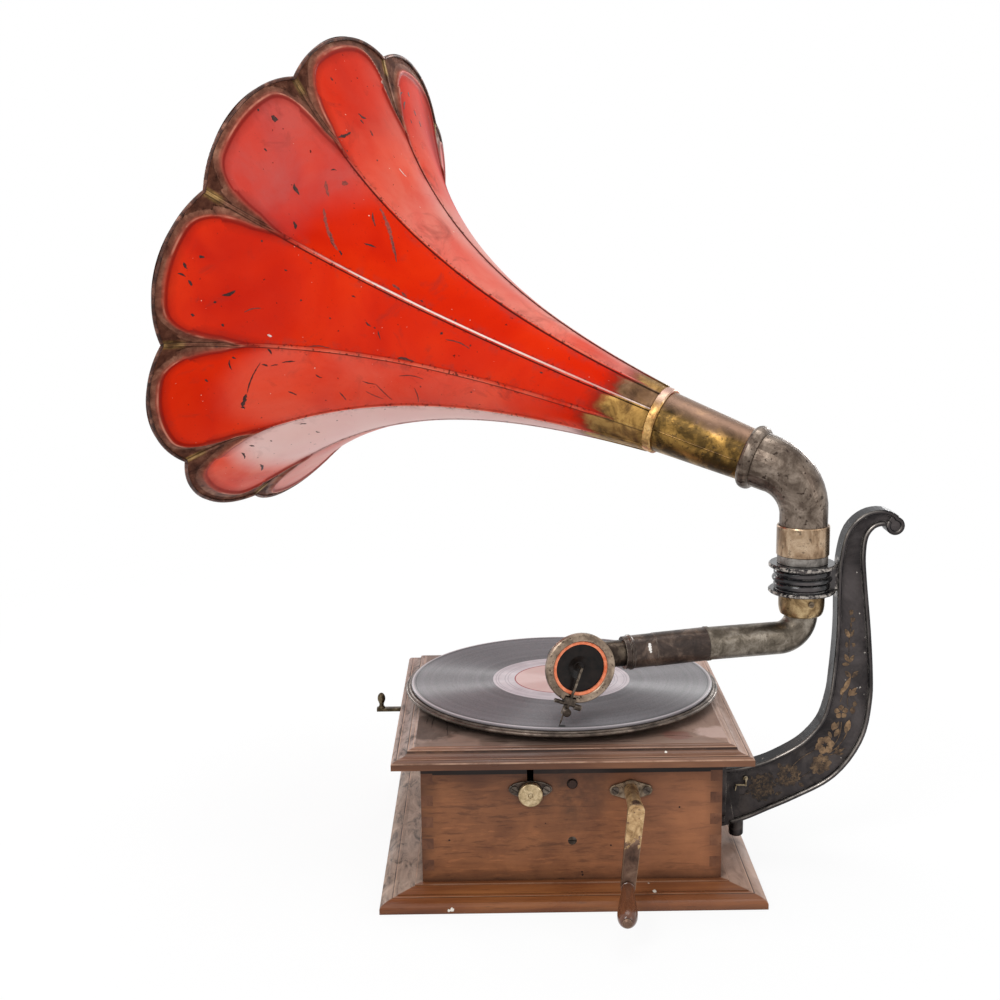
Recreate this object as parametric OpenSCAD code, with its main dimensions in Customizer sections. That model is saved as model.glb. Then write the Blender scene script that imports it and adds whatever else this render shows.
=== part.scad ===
// Horn gramophone: wooden case with a spring motor, turntable and record, a cast bracket at
// the side, a swinging tone arm with its soundbox, and a ten-petal sheet metal horn.
// Millimetres. Origin on the case underside, in the spindle's cross plane and halfway across
// the case, +Z up, the crank points to -Y.

/* [Case] */
// Width of the panel box, along X
case_w = 230; // [210:1:260]
// Depth of the panel box, along Y
case_d = 230; // [226:1:270]
// How far the front panel's face lies in front of the spindle
front_reach = 123.5; // [118:0.5:126]
// Thickness of the case panels
panel_t = 9; // [8:0.5:12]
// Height of the case panels
panel_h = 96; // [92:1:120]
// Fingers and gaps in each corner joint
finger_n = 11; // [7:2:13]
// Thickness of the bottom board
bottom_t = 8; // [5:0.5:10]
// Clearance of the bottom board above the table
bottom_lift = 1.5; // [0.5:0.5:3]

/* [Base moulding] */
// Height of the base moulding
base_h = 12; // [10:0.5:18]
// How far the base moulding stands out from the panels
base_out = 31.5; // [26:0.5:38]
// Height of the upright edge of the base moulding
base_edge_h = 4; // [2:0.5:5]
// Width of the rounded outer part of the base moulding
base_round_w = 13; // [8:0.5:16]

/* [Lid] */
// How far the lid moulding stands out from the panels
lid_out = 21; // [17:0.5:26]
// Shadow gap between the panels and the lid moulding
lid_gap = 1.6; // [1:0.1:3]
// Thickness of the motor board, with its rest on the panels
board_t = 14.4; // [12:0.2:18]
// How far the flat motor board reaches past the panels
board_out = 3.6; // [2:0.2:6]
// Height of the upright edge of the lid moulding
lid_edge_h = 4.6; // [3:0.2:6]

/* [Turntable] */
// Spindle place along X
spindle_x = -2; // [-6:0.5:6]
// Turntable radius, at its rolled lip
platter_r = 129.5; // [124:0.5:135]
// Depth of the turntable, from its top to its lip's underside
platter_h = 3.6; // [3.2:0.2:8]
// Thickness of the turntable sheet
platter_t = 1.6; // [1:0.1:2.5]
// Gap between the turntable rim and the motor board
platter_gap = 6.2; // [5.4:0.1:9]
// Radius of the spindle's tip, that a record drops over
spindle_r = 3.6; // [3.5:0.05:3.7]
// Radius of the spindle where the turntable sits
seat_r = 4.2; // [4:0.1:4.4]
// Radial gap between the record and the spindle's tip
record_fit = 0.05; // [0.03:0.01:0.08]
// Height of the spindle above the record
spindle_up = 7; // [5:0.5:8]
// Record radius
record_r = 125; // [100:0.5:127]
// Record thickness
record_t = 2.2; // [1.8:0.1:2.8]
// Radius of the record's label
label_r = 57; // [38:0.5:60]

/* [Crank and front] */
// Crank shaft place along X
crank_x = 45.2; // [38:0.2:50]
// Depth of the crank shaft's middle below the panel tops
crank_down = 23.4; // [21:0.1:26]
// Crank shaft radius
crank_r = 5.4; // [4.5:0.1:5.6]
// How far the crank arm stands out from the front panel
crank_stand = 41.5; // [34:0.5:50]
// Length of the crank arm between its two centres
crank_arm_l = 60; // [50:0.5:64]
// Lean of the crank arm from upright, in degrees
crank_lean = 5.5; // [0:0.5:12]
// Lean of the crank handle from the shaft's direction, bent in use, in degrees
handle_lean = 5.5; // [0:0.5:8]
// Thickness of the crank arm
crank_arm_t = 5; // [4:0.5:7]
// Length of the wooden crank handle
crank_handle_l = 56; // [50:1:70]
// Largest radius of the wooden crank handle
crank_handle_r = 7.4; // [6.5:0.1:9]
// Regulator place along X
regulator_x = -31.5; // [-36:0.5:-28]
// Regulator knob radius
regulator_r = 9.4; // [8:0.1:10]
// Radius of the regulator shaft
regulator_shaft_r = 2.4; // [2:0.1:3]

/* [Brake] */
// Brake lever place along Y
brake_y = 10; // [8:1:14]
// How far the brake lever's knob stands out from the panel
brake_out = 42.5; // [36:0.5:50]
// Thickness of the brake lever
brake_t = 2.8; // [2:0.2:3]

/* [Bracket] */
// Middle plane of the bracket along Y
bracket_y = -48; // [-60:1:-40]
// Thickness of the bracket at its raised edges
bracket_t = 16; // [12:0.5:20]
// Width of the raised edges
bracket_rim = 3.6; // [2.5:0.1:4.5]
// Depth of the sunk panel between the raised edges
bracket_sink = 2.2; // [1:0.1:3]
// Thickness of the plate on the case wall
wall_plate_t = 5; // [4:0.5:7]
// Half width of the wall plate, along Y
wall_plate_y = 37; // [32:1:42]

/* [Collar] */
// Collar axis, along X
collar_x = 187.4; // [184:0.2:190]
// Height of the collar's middle above the motor board
collar_up = 108.6; // [106.6:0.1:110.6]
// Radius of the bore through the collar
collar_bore = 18; // [17:0.1:18.5]
// Radius of the two flanges
flange_r = 26.5; // [25:0.5:28]
// Radius of the collar body
collar_r = 21.6; // [20.5:0.1:23]
// Height of the whole collar
collar_h = 24; // [22:0.5:26]
// Running clearance of the spigots in the collar
spigot_gap = 0.06; // [0.03:0.01:0.1]

/* [Tone arm] */
// Swing of the tone arm towards the crank side, in degrees
arm_turn = 13; // [11:0.5:15]
// Outer radius of the tone arm tube
arm_r = 13; // [12:0.1:13.4]
// Wall of the tone arm tube
arm_wall = 1; // [0.7:0.1:1.4]
// Height of the tone arm tube's middle above the record
arm_up = 47.9; // [45.6:0.1:49.6]
// Radius of the tone arm's bend, at the middle of the tube
arm_bend = 19; // [17:0.5:20]
// Distance from the swing axis to the sleeve
sleeve_start = 81; // [76:0.5:86]
// Length of the dark sleeve
sleeve_l = 68; // [60:0.5:70]
// Droop of the sleeve and of what it carries, in degrees
sleeve_lean = 1.7; // [0:0.1:3]
// Distance from the swing axis to the middle of the soundbox
soundbox_s = 191; // [186:0.5:196]
// Soundbox radius
soundbox_r = 27; // [25:0.5:29]
// Distance from the arm's middle to the soundbox face
soundbox_off = 28; // [25:0.5:31]
// Radius of the cup under the collar
cup_r = 18.2; // [17.8:0.1:19]
// Lean of the needle bar from the arm's square, in degrees
needle_lean = 22.2; // [16:0.2:28]
// Gap that the needle's point keeps above the record
needle_gap = 0.2; // [0.1:0.05:0.5]

/* [Elbow] */
// Outer radius of the elbow at its foot
elbow_r = 19; // [18:0.1:20]
// Outer radius of the elbow behind its bead
elbow_mouth_r = 22.6; // [22:0.1:24]
// Radius of the elbow's bend
elbow_bend = 38; // [34:0.5:42]
// Height above the collar's middle where the horn's axis meets the elbow's upright axis
horn_up = 80.1; // [75:0.1:85]
// Height of the brass ring
brass_ring_h = 24; // [18:0.5:26]
// Height of the zinc ring
zinc_ring_h = 6.2; // [4:0.2:8]

/* [Horn] */
// Rise of the horn's axis above level, in degrees
horn_rise = 17.74; // [12:0.02:24]
// Turn of the horn's axis away from the crank side, in degrees
horn_turn = 28; // [0:0.5:60]
// Number of petals
petal_n = 10; // [10:1:10]
// Distance from the elbow's corner to the first petals
petal_start = 130; // [124:0.5:140]
// Distance from the elbow's corner to the rim, at the seams
horn_l = 476.4; // [440:0.2:500]
// Radius of the horn where the petals start
throat_r = 27.4; // [26:0.1:30]
// Radius of the rim at the seams
rim_r = 205.3; // [180:0.1:220]
// Share of the flare that is steady, against the share that quickens
flare_share = 0.71; // [0.6:0.01:0.85]
// How far a petal's middle stands out past the seams, in radius
petal_bulge = 14; // [8:0.5:18]
// How far a petal's middle reaches past the seams, along the axis
petal_reach = 8.3; // [4:0.1:12]
// Thickness of the horn's sheet metal
sheet_t = 0.9; // [0.6:0.1:1.4]

/* [Hidden] */
$fn = 96;

// Colours as the photograph shows them
mahogany = "#7a4632";
dark_wood = "#4f2e22";
nickel = "#a8a296";
worn_brass = "#8f7638";
steel = "#77716b";
black_paint = "#1f2022";
horn_red = "#c8301c";

// Heights in the case
panel_top = base_h + panel_h;
board_top = panel_top + board_t;
lid_z = panel_top + lid_gap;
platter_z = board_top + platter_gap;
platter_top = platter_z + platter_h;
record_top = platter_top + record_t;
crank_z = panel_top - crank_down;
front_y = -front_reach;
back_y = case_d - front_reach;
mid_y = (front_y + back_y) / 2;
wall_x = case_w / 2;
overlap = 1;

// Spring motor heights, hung from the panel tops
motor_h = 68;
plate_steel = 3;
motor_low = panel_top - motor_h;
motor_top = panel_top - plate_steel;

// Collar and tone arm heights
collar_z = board_top + collar_up;
arm_z = record_top + arm_up;
horn_z = collar_z + horn_up;
collar_top = collar_z + collar_h / 2;
collar_low = collar_z - collar_h / 2;
seat_gap = 0.3;
cup_top = collar_low - seat_gap;
lift_z = cup_top - 6;
pin_gap = 0.05;

// Points of an arc about [cx, cy], from angle a0 to a1
function arc(cx, cy, rx, ry, a0, a1, n) =
  [for (i = [0:n]) [cx + rx * cos(a0 + (a1 - a0) * i / n), cy + ry * sin(a0 + (a1 - a0) * i / n)]];

// One smooth curve through the stations of a list, and its value at u from 0 to the last
function spline4(a, b, c, d, t) =
  0.5 * (2 * b + (c - a) * t + (2 * a - 5 * b + 4 * c - d) * t * t + (3 * b - a - 3 * c + d) * t * t * t);
function spline(pts, u) =
  let (last = len(pts) - 1, i = min(floor(u), last - 1), t = u - i)
  spline4(pts[max(i - 1, 0)], pts[i], pts[i + 1], pts[min(i + 2, last)], t);

module ring(r_out, r_in, h) {
  difference() {
    cylinder(r = r_out, h = h);
    translate([0, 0, -overlap]) cylinder(r = r_in, h = h + 2 * overlap);
  }
}

// Case

finger_h = panel_h / finger_n;

// A panel of the box joint: parity 0 keeps the odd fingers, parity 1 the others
module panel(length, parity) {
  difference() {
    translate([-length / 2, 0, base_h]) cube([length, panel_t, panel_h]);
    for (i = [1 - parity:2:finger_n - 1], x = [-length / 2 - overlap, length / 2 - panel_t])
      translate([x, -overlap, base_h + i * finger_h])
        cube([panel_t + overlap, panel_t + 2 * overlap, finger_h]);
  }
}

regulator_z = crank_z - 1;
regulator_slot = 5;
notch_w = 15;
plug_x = 0.5;
plug_z = crank_z + 5.2;
plug_r = 4.15;
front_screw_z = base_h + 31.6;
front_screw_r = 1.8;
front_head_r = 3.4;
front_head_t = 1.8;
crank_bush_r = crank_r + 1.6;

module case_front() {
  color(mahogany) difference() {
    translate([0, front_y, 0]) panel(case_w, 0);
    // open slot that lets the regulator shaft lift out with the motor board
    translate([regulator_x - regulator_slot / 2, front_y - overlap, regulator_z])
      cube([regulator_slot, panel_t + 2 * overlap, panel_h]);
    translate([regulator_x - notch_w / 2 + 1, front_y - overlap, panel_top - 6])
      cube([notch_w, panel_t + 2 * overlap, panel_h]);
    front_hole(regulator_x, regulator_z, regulator_slot / 2);
    front_hole(crank_x, crank_z, crank_bush_r);
    front_hole(plug_x, plug_z, plug_r);
    front_hole(plug_x, front_screw_z, front_screw_r);
    translate([plug_x, front_y - overlap, front_screw_z]) rotate([-90, 0, 0])
      cylinder(r = front_head_r, h = overlap + front_head_t + 0.2);
    plate_screw_places() cylinder(r = plate_screw_r, h = plate_screw_l);
  }
}

module front_hole(x, z, r) {
  translate([x, front_y - overlap, z]) rotate([-90, 0, 0]) cylinder(r = r, h = panel_t + 2 * overlap);
}

module case_back() {
  color(mahogany) translate([0, back_y, 0]) rotate([0, 0, 180]) panel(case_w, 0);
}

brake_slot = 13;
brake_z = panel_top - 3.4;

module case_left() {
  color(mahogany) difference() {
    translate([-wall_x, mid_y, 0]) rotate([0, 0, -90]) panel(case_d, 1);
    translate([-wall_x - overlap, brake_y - brake_slot / 2, brake_z - 1])
      cube([panel_t + 2 * overlap, brake_slot, panel_h]);
  }
}

module case_right() {
  color(mahogany) difference() {
    translate([wall_x, mid_y, 0]) rotate([0, 0, 90]) panel(case_d, 1);
    bracket_screw_places() cylinder(r = bracket_screw_r, h = bracket_screw_l);
  }
}

// Outline of the base moulding: x is the distance out from the panel face, y is the height
base_round_x = base_out - base_round_w;
base_profile = concat(
  [[-panel_t, 0], [base_out, 0]],
  arc(base_round_x, base_edge_h, base_round_w, base_h - base_edge_h - 2.8, 0, 90, 7),
  [[base_round_x, base_h - 2.2], [5.7, base_h - 0.8], [5.7, base_h], [-panel_t, base_h]]);

// Outline of the lid moulding, from the edge of the flat board
lid_profile = concat(
  [[board_out, lid_z], [lid_out, lid_z], [lid_out, lid_z + lid_edge_h]],
  arc(lid_out - 4, lid_z + lid_edge_h, 3.6, 2.2, 0, 90, 4),
  arc(lid_out - 4.4, lid_z + lid_edge_h + 6.4, 7.4, 3.8, 270, 185, 6),
  [[9.2, board_top - 1.6]],
  arc(board_out + 0.4, board_top - 1.6, 4.6, 1.2, 0, 80, 4),
  [[board_out, board_top]]);

// A straight moulding along one side, mitred at both ends: across is the distance of its
// panel face from the middle, along is the half length of that panel
module mitred_side(profile, across, along, inner, outer, top) {
  lap = 0.01;
  intersection() {
    translate([0, -across, 0]) rotate([90, 0, -90])
      linear_extrude(height = 2 * (along + outer), center = true) polygon(profile);
    translate([0, 0, -overlap]) linear_extrude(height = top + 2 * overlap)
      polygon([[-along - outer - lap, -across - outer], [along + outer + lap, -across - outer],
        [along + inner + lap, -across - inner], [-along - inner - lap, -across - inner]]);
  }
}

module mitred_frame(profile, inner, outer, top) {
  translate([0, mid_y, 0]) {
    for (turn = [0, 180]) rotate([0, 0, turn])
      mitred_side(profile, case_d / 2, case_w / 2, inner, outer, top);
    for (turn = [90, 270]) rotate([0, 0, turn])
      mitred_side(profile, case_w / 2, case_d / 2, inner, outer, top);
  }
}

module base_mouldings() {
  color(mahogany) mitred_frame(base_profile, -panel_t, base_out, base_h);
}

module bottom_board() {
  color(dark_wood) translate([-wall_x + panel_t, front_y + panel_t, bottom_lift])
    cube([case_w - 2 * panel_t, case_d - 2 * panel_t, bottom_t]);
}

module motor_board() {
  color(mahogany) difference() {
    union() {
      translate([-wall_x - board_out, front_y - board_out, lid_z])
        cube([case_w + 2 * board_out, case_d + 2 * board_out, board_top - lid_z]);
      translate([-wall_x + 2, front_y + 2, panel_top]) cube([case_w - 4, case_d - 4, lid_gap]);
    }
    translate([spindle_x, 0, panel_top - overlap]) cylinder(r = hub_r + 2.4, h = board_t + 2 * overlap);
    pillar_places() translate([0, 0, panel_top - overlap]) cylinder(r = stud_r, h = board_t + 2 * overlap);
    pillar_places() translate([0, 0, board_top - nut_t]) cylinder(r = nut_r, h = nut_t + overlap);
    translate([brake_pivot_x, brake_y, panel_top - overlap]) cylinder(r = brake_pin_r, h = 8 + overlap);
  }
}

module lid_mouldings() {
  color(mahogany) mitred_frame(lid_profile, board_out, lid_out, board_top);
}

// Front fittings

module front_plug() {
  color(dark_wood) translate([plug_x, front_y, plug_z]) rotate([90, 0, 0]) {
    translate([0, 0, -panel_t]) cylinder(r = plug_r, h = panel_t - 0.8);
    translate([0, 0, -1]) cylinder(r = plug_r - 0.9, h = 2.6);
  }
}

module slotted_head(r, h, slot) {
  difference() {
    cylinder(r = r, h = h);
    translate([-r - overlap, -slot / 2, h - 0.7]) cube([2 * (r + overlap), slot, 2]);
  }
}

plate_t = 1.8;
plate_screw_r = 1.3;
plate_screw_l = 7;
plate_half = 16.2;
plate_ear = 4.2;
screw_pitch = 12;
oval_pitch = 12.3;
oval_z = regulator_z + 2.6;

// Outline of the eared plate round the crank: a round middle with an ear at each side
function eared_plate(r) =
  let (ear_x = plate_half - plate_ear)
  concat(arc(0, 0, r, r, 55, 125, 8), arc(-ear_x, 0, plate_ear, plate_ear, 110, 250, 10),
    arc(0, 0, r, r, 235, 305, 8), arc(ear_x, 0, plate_ear, plate_ear, -70, 70, 10));

// Two screws hold the oval plate of the regulator and two the plate of the crank
module plate_screw_places() {
  for (side = [-1, 1]) {
    translate([regulator_x + side * oval_pitch, front_y, oval_z]) rotate([-90, 0, 0]) children();
    translate([crank_x + side * screw_pitch, front_y, crank_z]) rotate([-90, 0, 0]) children();
  }
}

module front_screws() {
  color(steel) {
    plate_screw_places() {
      translate([0, 0, -plate_t]) cylinder(r = plate_screw_r, h = plate_t + plate_screw_l);
      translate([0, 0, -plate_t]) rotate([180, 0, 35]) slotted_head(2.9, 1.1, 0.8);
    }
    // lone countersunk screw below the plug
    translate([plug_x, front_y + front_head_t + 0.2, front_screw_z]) rotate([90, 0, 0]) {
      slotted_head(front_head_r, front_head_t, 0.9);
      translate([0, 0, -panel_t]) cylinder(r = front_screw_r, h = panel_t + overlap / 2);
    }
  }
}

module regulator_plate() {
  color("#4a3a30") translate([regulator_x, front_y, oval_z]) rotate([90, 0, 0]) difference() {
    linear_extrude(height = plate_t) polygon(arc(0, 0, plate_half + 0.2, 6.6, 0, 352.5, 47));
    translate([0, regulator_z - oval_z, -overlap]) cylinder(r = regulator_shaft_r + pin_gap, h = plate_t + 2 * overlap);
    for (side = [-1, 1]) translate([side * oval_pitch, 0, -overlap])
      cylinder(r = plate_screw_r, h = plate_t + 2 * overlap);
  }
}

module crank_plate() {
  color(nickel) translate([crank_x, front_y, crank_z]) rotate([90, 0, 0]) {
    difference() {
      union() {
        linear_extrude(height = plate_t) polygon(eared_plate(8));
        translate([0, 0, -panel_t]) cylinder(r = crank_bush_r, h = panel_t + plate_t);
      }
      translate([0, 0, -panel_t - overlap]) cylinder(r = crank_r + pin_gap, h = panel_t + plate_t + 2 * overlap);
      for (side = [-1, 1]) translate([side * screw_pitch, 0, -overlap])
        cylinder(r = plate_screw_r, h = plate_t + 2 * overlap);
    }
  }
}

// Speed regulator: knob in front, shaft running in beside the governor
regulator_in = 62;

module regulator_knob() {
  color("#b3ad8c") translate([regulator_x, front_y - plate_t - 1.5, regulator_z]) rotate([90, 0, 0]) {
    rotate_extrude() polygon(concat([[0, 0], [regulator_r - 1, 0]],
      arc(regulator_r - 1, 1, 1, 1, -90, 0, 4), arc(regulator_r - 1.4, 3.6, 1.4, 1.4, 0, 90, 4),
      [[2.2, 5.2], [1.4, 4.2], [0, 4.2]]));
    translate([0, 0, -regulator_in]) cylinder(r = regulator_shaft_r, h = regulator_in + 1);
  }
}

// Crank

crank_arm_y = front_y - crank_stand;
crank_pin_r = 2;
crank_pin_x = crank_x - crank_arm_l * sin(crank_lean);
crank_pin_z = crank_z - crank_arm_l * cos(crank_lean);
rivet_r = 3.5;
rivet_t = 1.4;
handle_foot_r = 5.3;
handle_gap = seat_gap + handle_foot_r * sin(handle_lean);

// +Z runs out along the bent handle pin, from the middle of the arm's thickness
module handle_frame() {
  translate([crank_pin_x, crank_arm_y, crank_pin_z]) rotate([0, 0, -handle_lean]) rotate([90, 0, 0]) children();
}

module crank_shaft() {
  shoulder_y = crank_arm_y + crank_arm_t / 2;
  color("#6b5236") translate([crank_x, shoulder_y, crank_z]) rotate([-90, 0, 0]) {
    cylinder(r = crank_r, h = bevel_y - shoulder_y);
    rotate_extrude() polygon([[0, 0], [6.2, 0], [6.2, 2.4], [crank_r, 4.4], [0, 4.4]]);
    translate([0, 0, -crank_arm_t - 0.8]) cylinder(r = rivet_r, h = crank_arm_t + 0.8 + overlap);
    // bevel pinion at the inner end
    translate([0, 0, bevel_y - shoulder_y - bevel_w]) bevel_pinion();
  }
}

module crank_arm() {
  top_r = 6.3;
  low_r = 5.4;
  pin_l = crank_arm_t / 2 + handle_gap + crank_handle_l + seat_gap;
  color("#5a4538") {
    translate([crank_x, crank_arm_y + crank_arm_t / 2, crank_z]) rotate([90, crank_lean, 0]) difference() {
      linear_extrude(height = crank_arm_t) polygon(concat(
        arc(0, 0, top_r, top_r, 0, 180, 16), arc(0, -crank_arm_l, low_r, low_r, 180, 360, 16)));
      translate([0, 0, -overlap]) cylinder(r = rivet_r, h = crank_arm_t + 2 * overlap);
    }
    handle_frame() {
      cylinder(r = crank_pin_r, h = pin_l + rivet_t / 2);
      translate([0, 0, pin_l]) rotate_extrude()
        polygon([[0, 0], [rivet_r, 0], [rivet_r, 0.4], [rivet_r * 0.6, rivet_t], [0, rivet_t]]);
    }
  }
}

// Pear shaped wooden handle, free to turn on its pin
module crank_handle() {
  full = crank_handle_l * 0.8;
  cap = crank_handle_l - full;
  color("#5b3623") handle_frame() translate([0, 0, crank_arm_t / 2 + handle_gap]) difference() {
    rotate_extrude() polygon(concat([[0, 0], [handle_foot_r, 0], [handle_foot_r, 1.4]],
      [for (i = [0:14]) let (t = i / 14) [4.8 + (crank_handle_r - 4.8) * pow(sin(90 * t), 1.6), 1.8 + t * (full - 1.8)]],
      [for (i = [1:10]) let (a = i * 8.4) [crank_handle_r * cos(a) * 0.5 + crank_handle_r * 0.5 * pow(cos(a), 0.5), full + cap * sin(a)]],
      [[rivet_r - 0.5, crank_handle_l], [0, crank_handle_l]]));
    translate([0, 0, -overlap]) cylinder(r = crank_pin_r + pin_gap, h = crank_handle_l + 2 * overlap);
  }
}

// Brake

brake_pivot_x = panel_t + 22 - wall_x;
brake_pin_r = 2;
brake_head_t = 2;
brake_drop_x = -70;

// Lever with a drop arm that ends in a foot beside the governor's disc
module brake_lever() {
  tip_x = -wall_x - brake_out;
  foot_y = governor_y + disc_r + seat_gap;
  foot_z = governor_z - 2.5;
  color("#8c8674") {
    difference() {
      translate([tip_x, brake_y - 2.5, brake_z]) cube([brake_drop_x - tip_x, 5, brake_t]);
      translate([brake_pivot_x, brake_y, 0]) cylinder(r = brake_pin_r + pin_gap, h = panel_top);
    }
    translate([brake_drop_x - 3, brake_y - 2.5, foot_z]) cube([3, 5, brake_z - foot_z + overlap]);
    translate([brake_drop_x - 3, brake_y - 2.5, foot_z]) cube([governor_disc_x + 5 - brake_drop_x, 5, 5]);
    translate([governor_disc_x - 2, foot_y, foot_z]) cube([4, brake_y - foot_y, 5]);
    // turned knob on the outer end
    translate([tip_x + 4, brake_y, brake_z + brake_t - 0.1]) rotate_extrude()
      polygon(concat([[0, 0], [3, 0], [3, 0.8], [2, 2]],
        [for (i = [0:10]) let (t = i / 10) [1.9 + 1.4 * pow(sin(90 * t), 2), 3 + 5 * t]],
        arc(0, 8.2, 3.3, 5, 8, 90, 9)));
  }
}

// Screw that the lever turns on, from below into the motor board
module brake_pivot() {
  color(steel) translate([brake_pivot_x, brake_y, brake_z - brake_head_t - seat_gap / 2]) {
    cylinder(r = brake_pin_r, h = panel_top + 8 - brake_z + brake_head_t + seat_gap / 2);
    cylinder(r = brake_pin_r + 2.2, h = brake_head_t);
  }
}

// Turntable

hub_t = 5;
lip_r = 1.3;

// Flat sheet disc with a stepped down, rolled lip and a thick middle
module platter() {
  lip_x = platter_r - lip_r;
  step_x = lip_x - 1.2;
  color("#3b3431") translate([spindle_x, 0, platter_z]) rotate_extrude() polygon(concat(
    [[seat_r, platter_h - hub_t], [12, platter_h - hub_t], [14, platter_h - platter_t],
     [step_x - platter_t, platter_h - platter_t], [step_x - platter_t, 0]],
    arc(lip_x, lip_r, lip_r, lip_r, -90, 90, 8),
    [[step_x, 2 * lip_r], [step_x, platter_h - 0.6], [step_x - 0.6, platter_h], [seat_r, platter_h]]));
}

pinion_w = 8;
pinion_z = motor_top - pinion_w - 3;
pinion_teeth = 12;
wheel_teeth = 30;
wheel_z = motor_low + 20;
hub_r = 4.6;
neck_r = spindle_r - 0.6;
record_bore = spindle_r + record_fit;

module spindle() {
  foot_z = motor_low + plate_steel;
  hub_top = platter_top - hub_t;
  tip_z = record_top + 0.5;
  color(nickel) translate([spindle_x, 0, 0]) {
    rotate_extrude() polygon(concat(
      [[0, foot_z], [hub_r, foot_z], [hub_r, hub_top], [seat_r, hub_top], [seat_r, platter_top],
       [neck_r, platter_top], [neck_r, tip_z], [spindle_r, tip_z]],
      arc(0, record_top + spindle_up - spindle_r, spindle_r, spindle_r, 0, 90, 8)));
    translate([0, 0, pinion_z]) spur_gear(pinion_teeth, pinion_w, hub_r - 0.6);
    translate([0, 0, wheel_z]) spur_gear(wheel_teeth, 5, hub_r - 0.6);
  }
}

module record() {
  edge = 0.7;
  groove_in = label_r + 3;
  color("#2b2b2d") translate([spindle_x, 0, platter_top]) rotate_extrude() polygon([
    [record_bore, 0], [record_r - edge, 0], [record_r, edge], [record_r, record_t - edge],
    [record_r - edge, record_t], [record_r - 4, record_t], [record_r - 4.4, record_t - 0.1],
    [groove_in, record_t - 0.1], [groove_in - 0.4, record_t], [record_bore, record_t]]);
}

// Bracket

bracket_screw_r = 2;
bracket_screw_l = 10;
plate_mid_z = panel_top - 45;
plate_half_z = 39.5;

// Wall plate outline with shallow lobes along its edge
module lobed_plate(half_y, half_z, lobes) {
  polygon([for (i = [0:95]) let (a = i * 360 / 96, k = 1 + 0.045 * cos(lobes * a))
    [half_z * k * pow(abs(cos(a)), 0.7) * sign(cos(a)), half_y * k * pow(abs(sin(a)), 0.7) * sign(sin(a))]]);
}

module bracket_screw_places() {
  for (dy = [-1, 1], dz = [-1, 1])
    translate([wall_x, bracket_y + dy * (wall_plate_y - 10), plate_mid_z + dz * (plate_half_z - 14)])
      rotate([0, -90, 0]) children();
}

module wall_plate() {
  color(black_paint) difference() {
    translate([wall_x, bracket_y, plate_mid_z]) rotate([0, 90, 0])
      linear_extrude(height = wall_plate_t) lobed_plate(wall_plate_y, plate_half_z, 12);
    translate([wall_plate_t + overlap, 0, 0]) bracket_screw_places()
      cylinder(r = bracket_screw_r, h = wall_plate_t + 2 * overlap);
  }
}

module bracket_screws() {
  color(steel) bracket_screw_places() {
    translate([0, 0, -wall_plate_t]) cylinder(r = bracket_screw_r, h = wall_plate_t + bracket_screw_l);
    translate([0, 0, -wall_plate_t]) rotate([180, 0, 0]) slotted_head(4, 1.6, 1);
  }
}

// Middle line of the bracket from the wall plate up to its scroll: x, z and width
foot_x = wall_x + wall_plate_t;
bracket_line = [
  [foot_x, plate_mid_z - 14, 50], [foot_x + 18, plate_mid_z - 11, 46], [foot_x + 36, plate_mid_z - 5.5, 41.5],
  [foot_x + 57, plate_mid_z + 3, 40], [collar_x + 15.6, plate_mid_z + 18, 41], [collar_x + 33, collar_z - 127.5, 38.5],
  [collar_x + 39.6, collar_z - 102, 35.2], [collar_x + 41, collar_z - 79, 32.4],
  [collar_x + 40.6, collar_z - 42.2, 27.2], [collar_x + 38.2, collar_z - 3, 23.2],
  [collar_x + 38.2, collar_z + 19, 20.2], [collar_x + 41.6, collar_z + 36, 17.5],
  [collar_x + 50.6, collar_z + 46, 14.6], [collar_x + 62, collar_z + 48.4, 12.8],
  [collar_x + 70.6, collar_z + 44.4, 12]];
bracket_steps = 4;

// Outline of the bracket drawn in by edge on both sides, from station u0 to u1
function bracket_side(sign, edge, u0, u1) =
  let (n = round((u1 - u0) * bracket_steps))
  [for (i = [0:n]) let (
      u = u0 + (u1 - u0) * i / n,
      p = spline(bracket_line, u),
      q = spline(bracket_line, min(u + 0.02, len(bracket_line) - 1)),
      o = spline(bracket_line, max(u - 0.02, 0)),
      d = [q[0] - o[0], q[1] - o[1]],
      w = p[2] / 2 - edge)
    [p[0] - sign * w * d[1] / norm(d), p[1] + sign * w * d[0] / norm(d)]];

function reversed(list) = [for (i = [len(list) - 1:-1:0]) list[i]];

bracket_end = len(bracket_line) - 1;
curl_r = 7.4;
curl_x = collar_x + 70.6;
curl_z = collar_z + 42;

module bracket_outline(edge, u0, u1) {
  polygon(concat(bracket_side(1, edge, u0, u1), reversed(bracket_side(-1, edge, u0, u1))));
}

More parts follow.
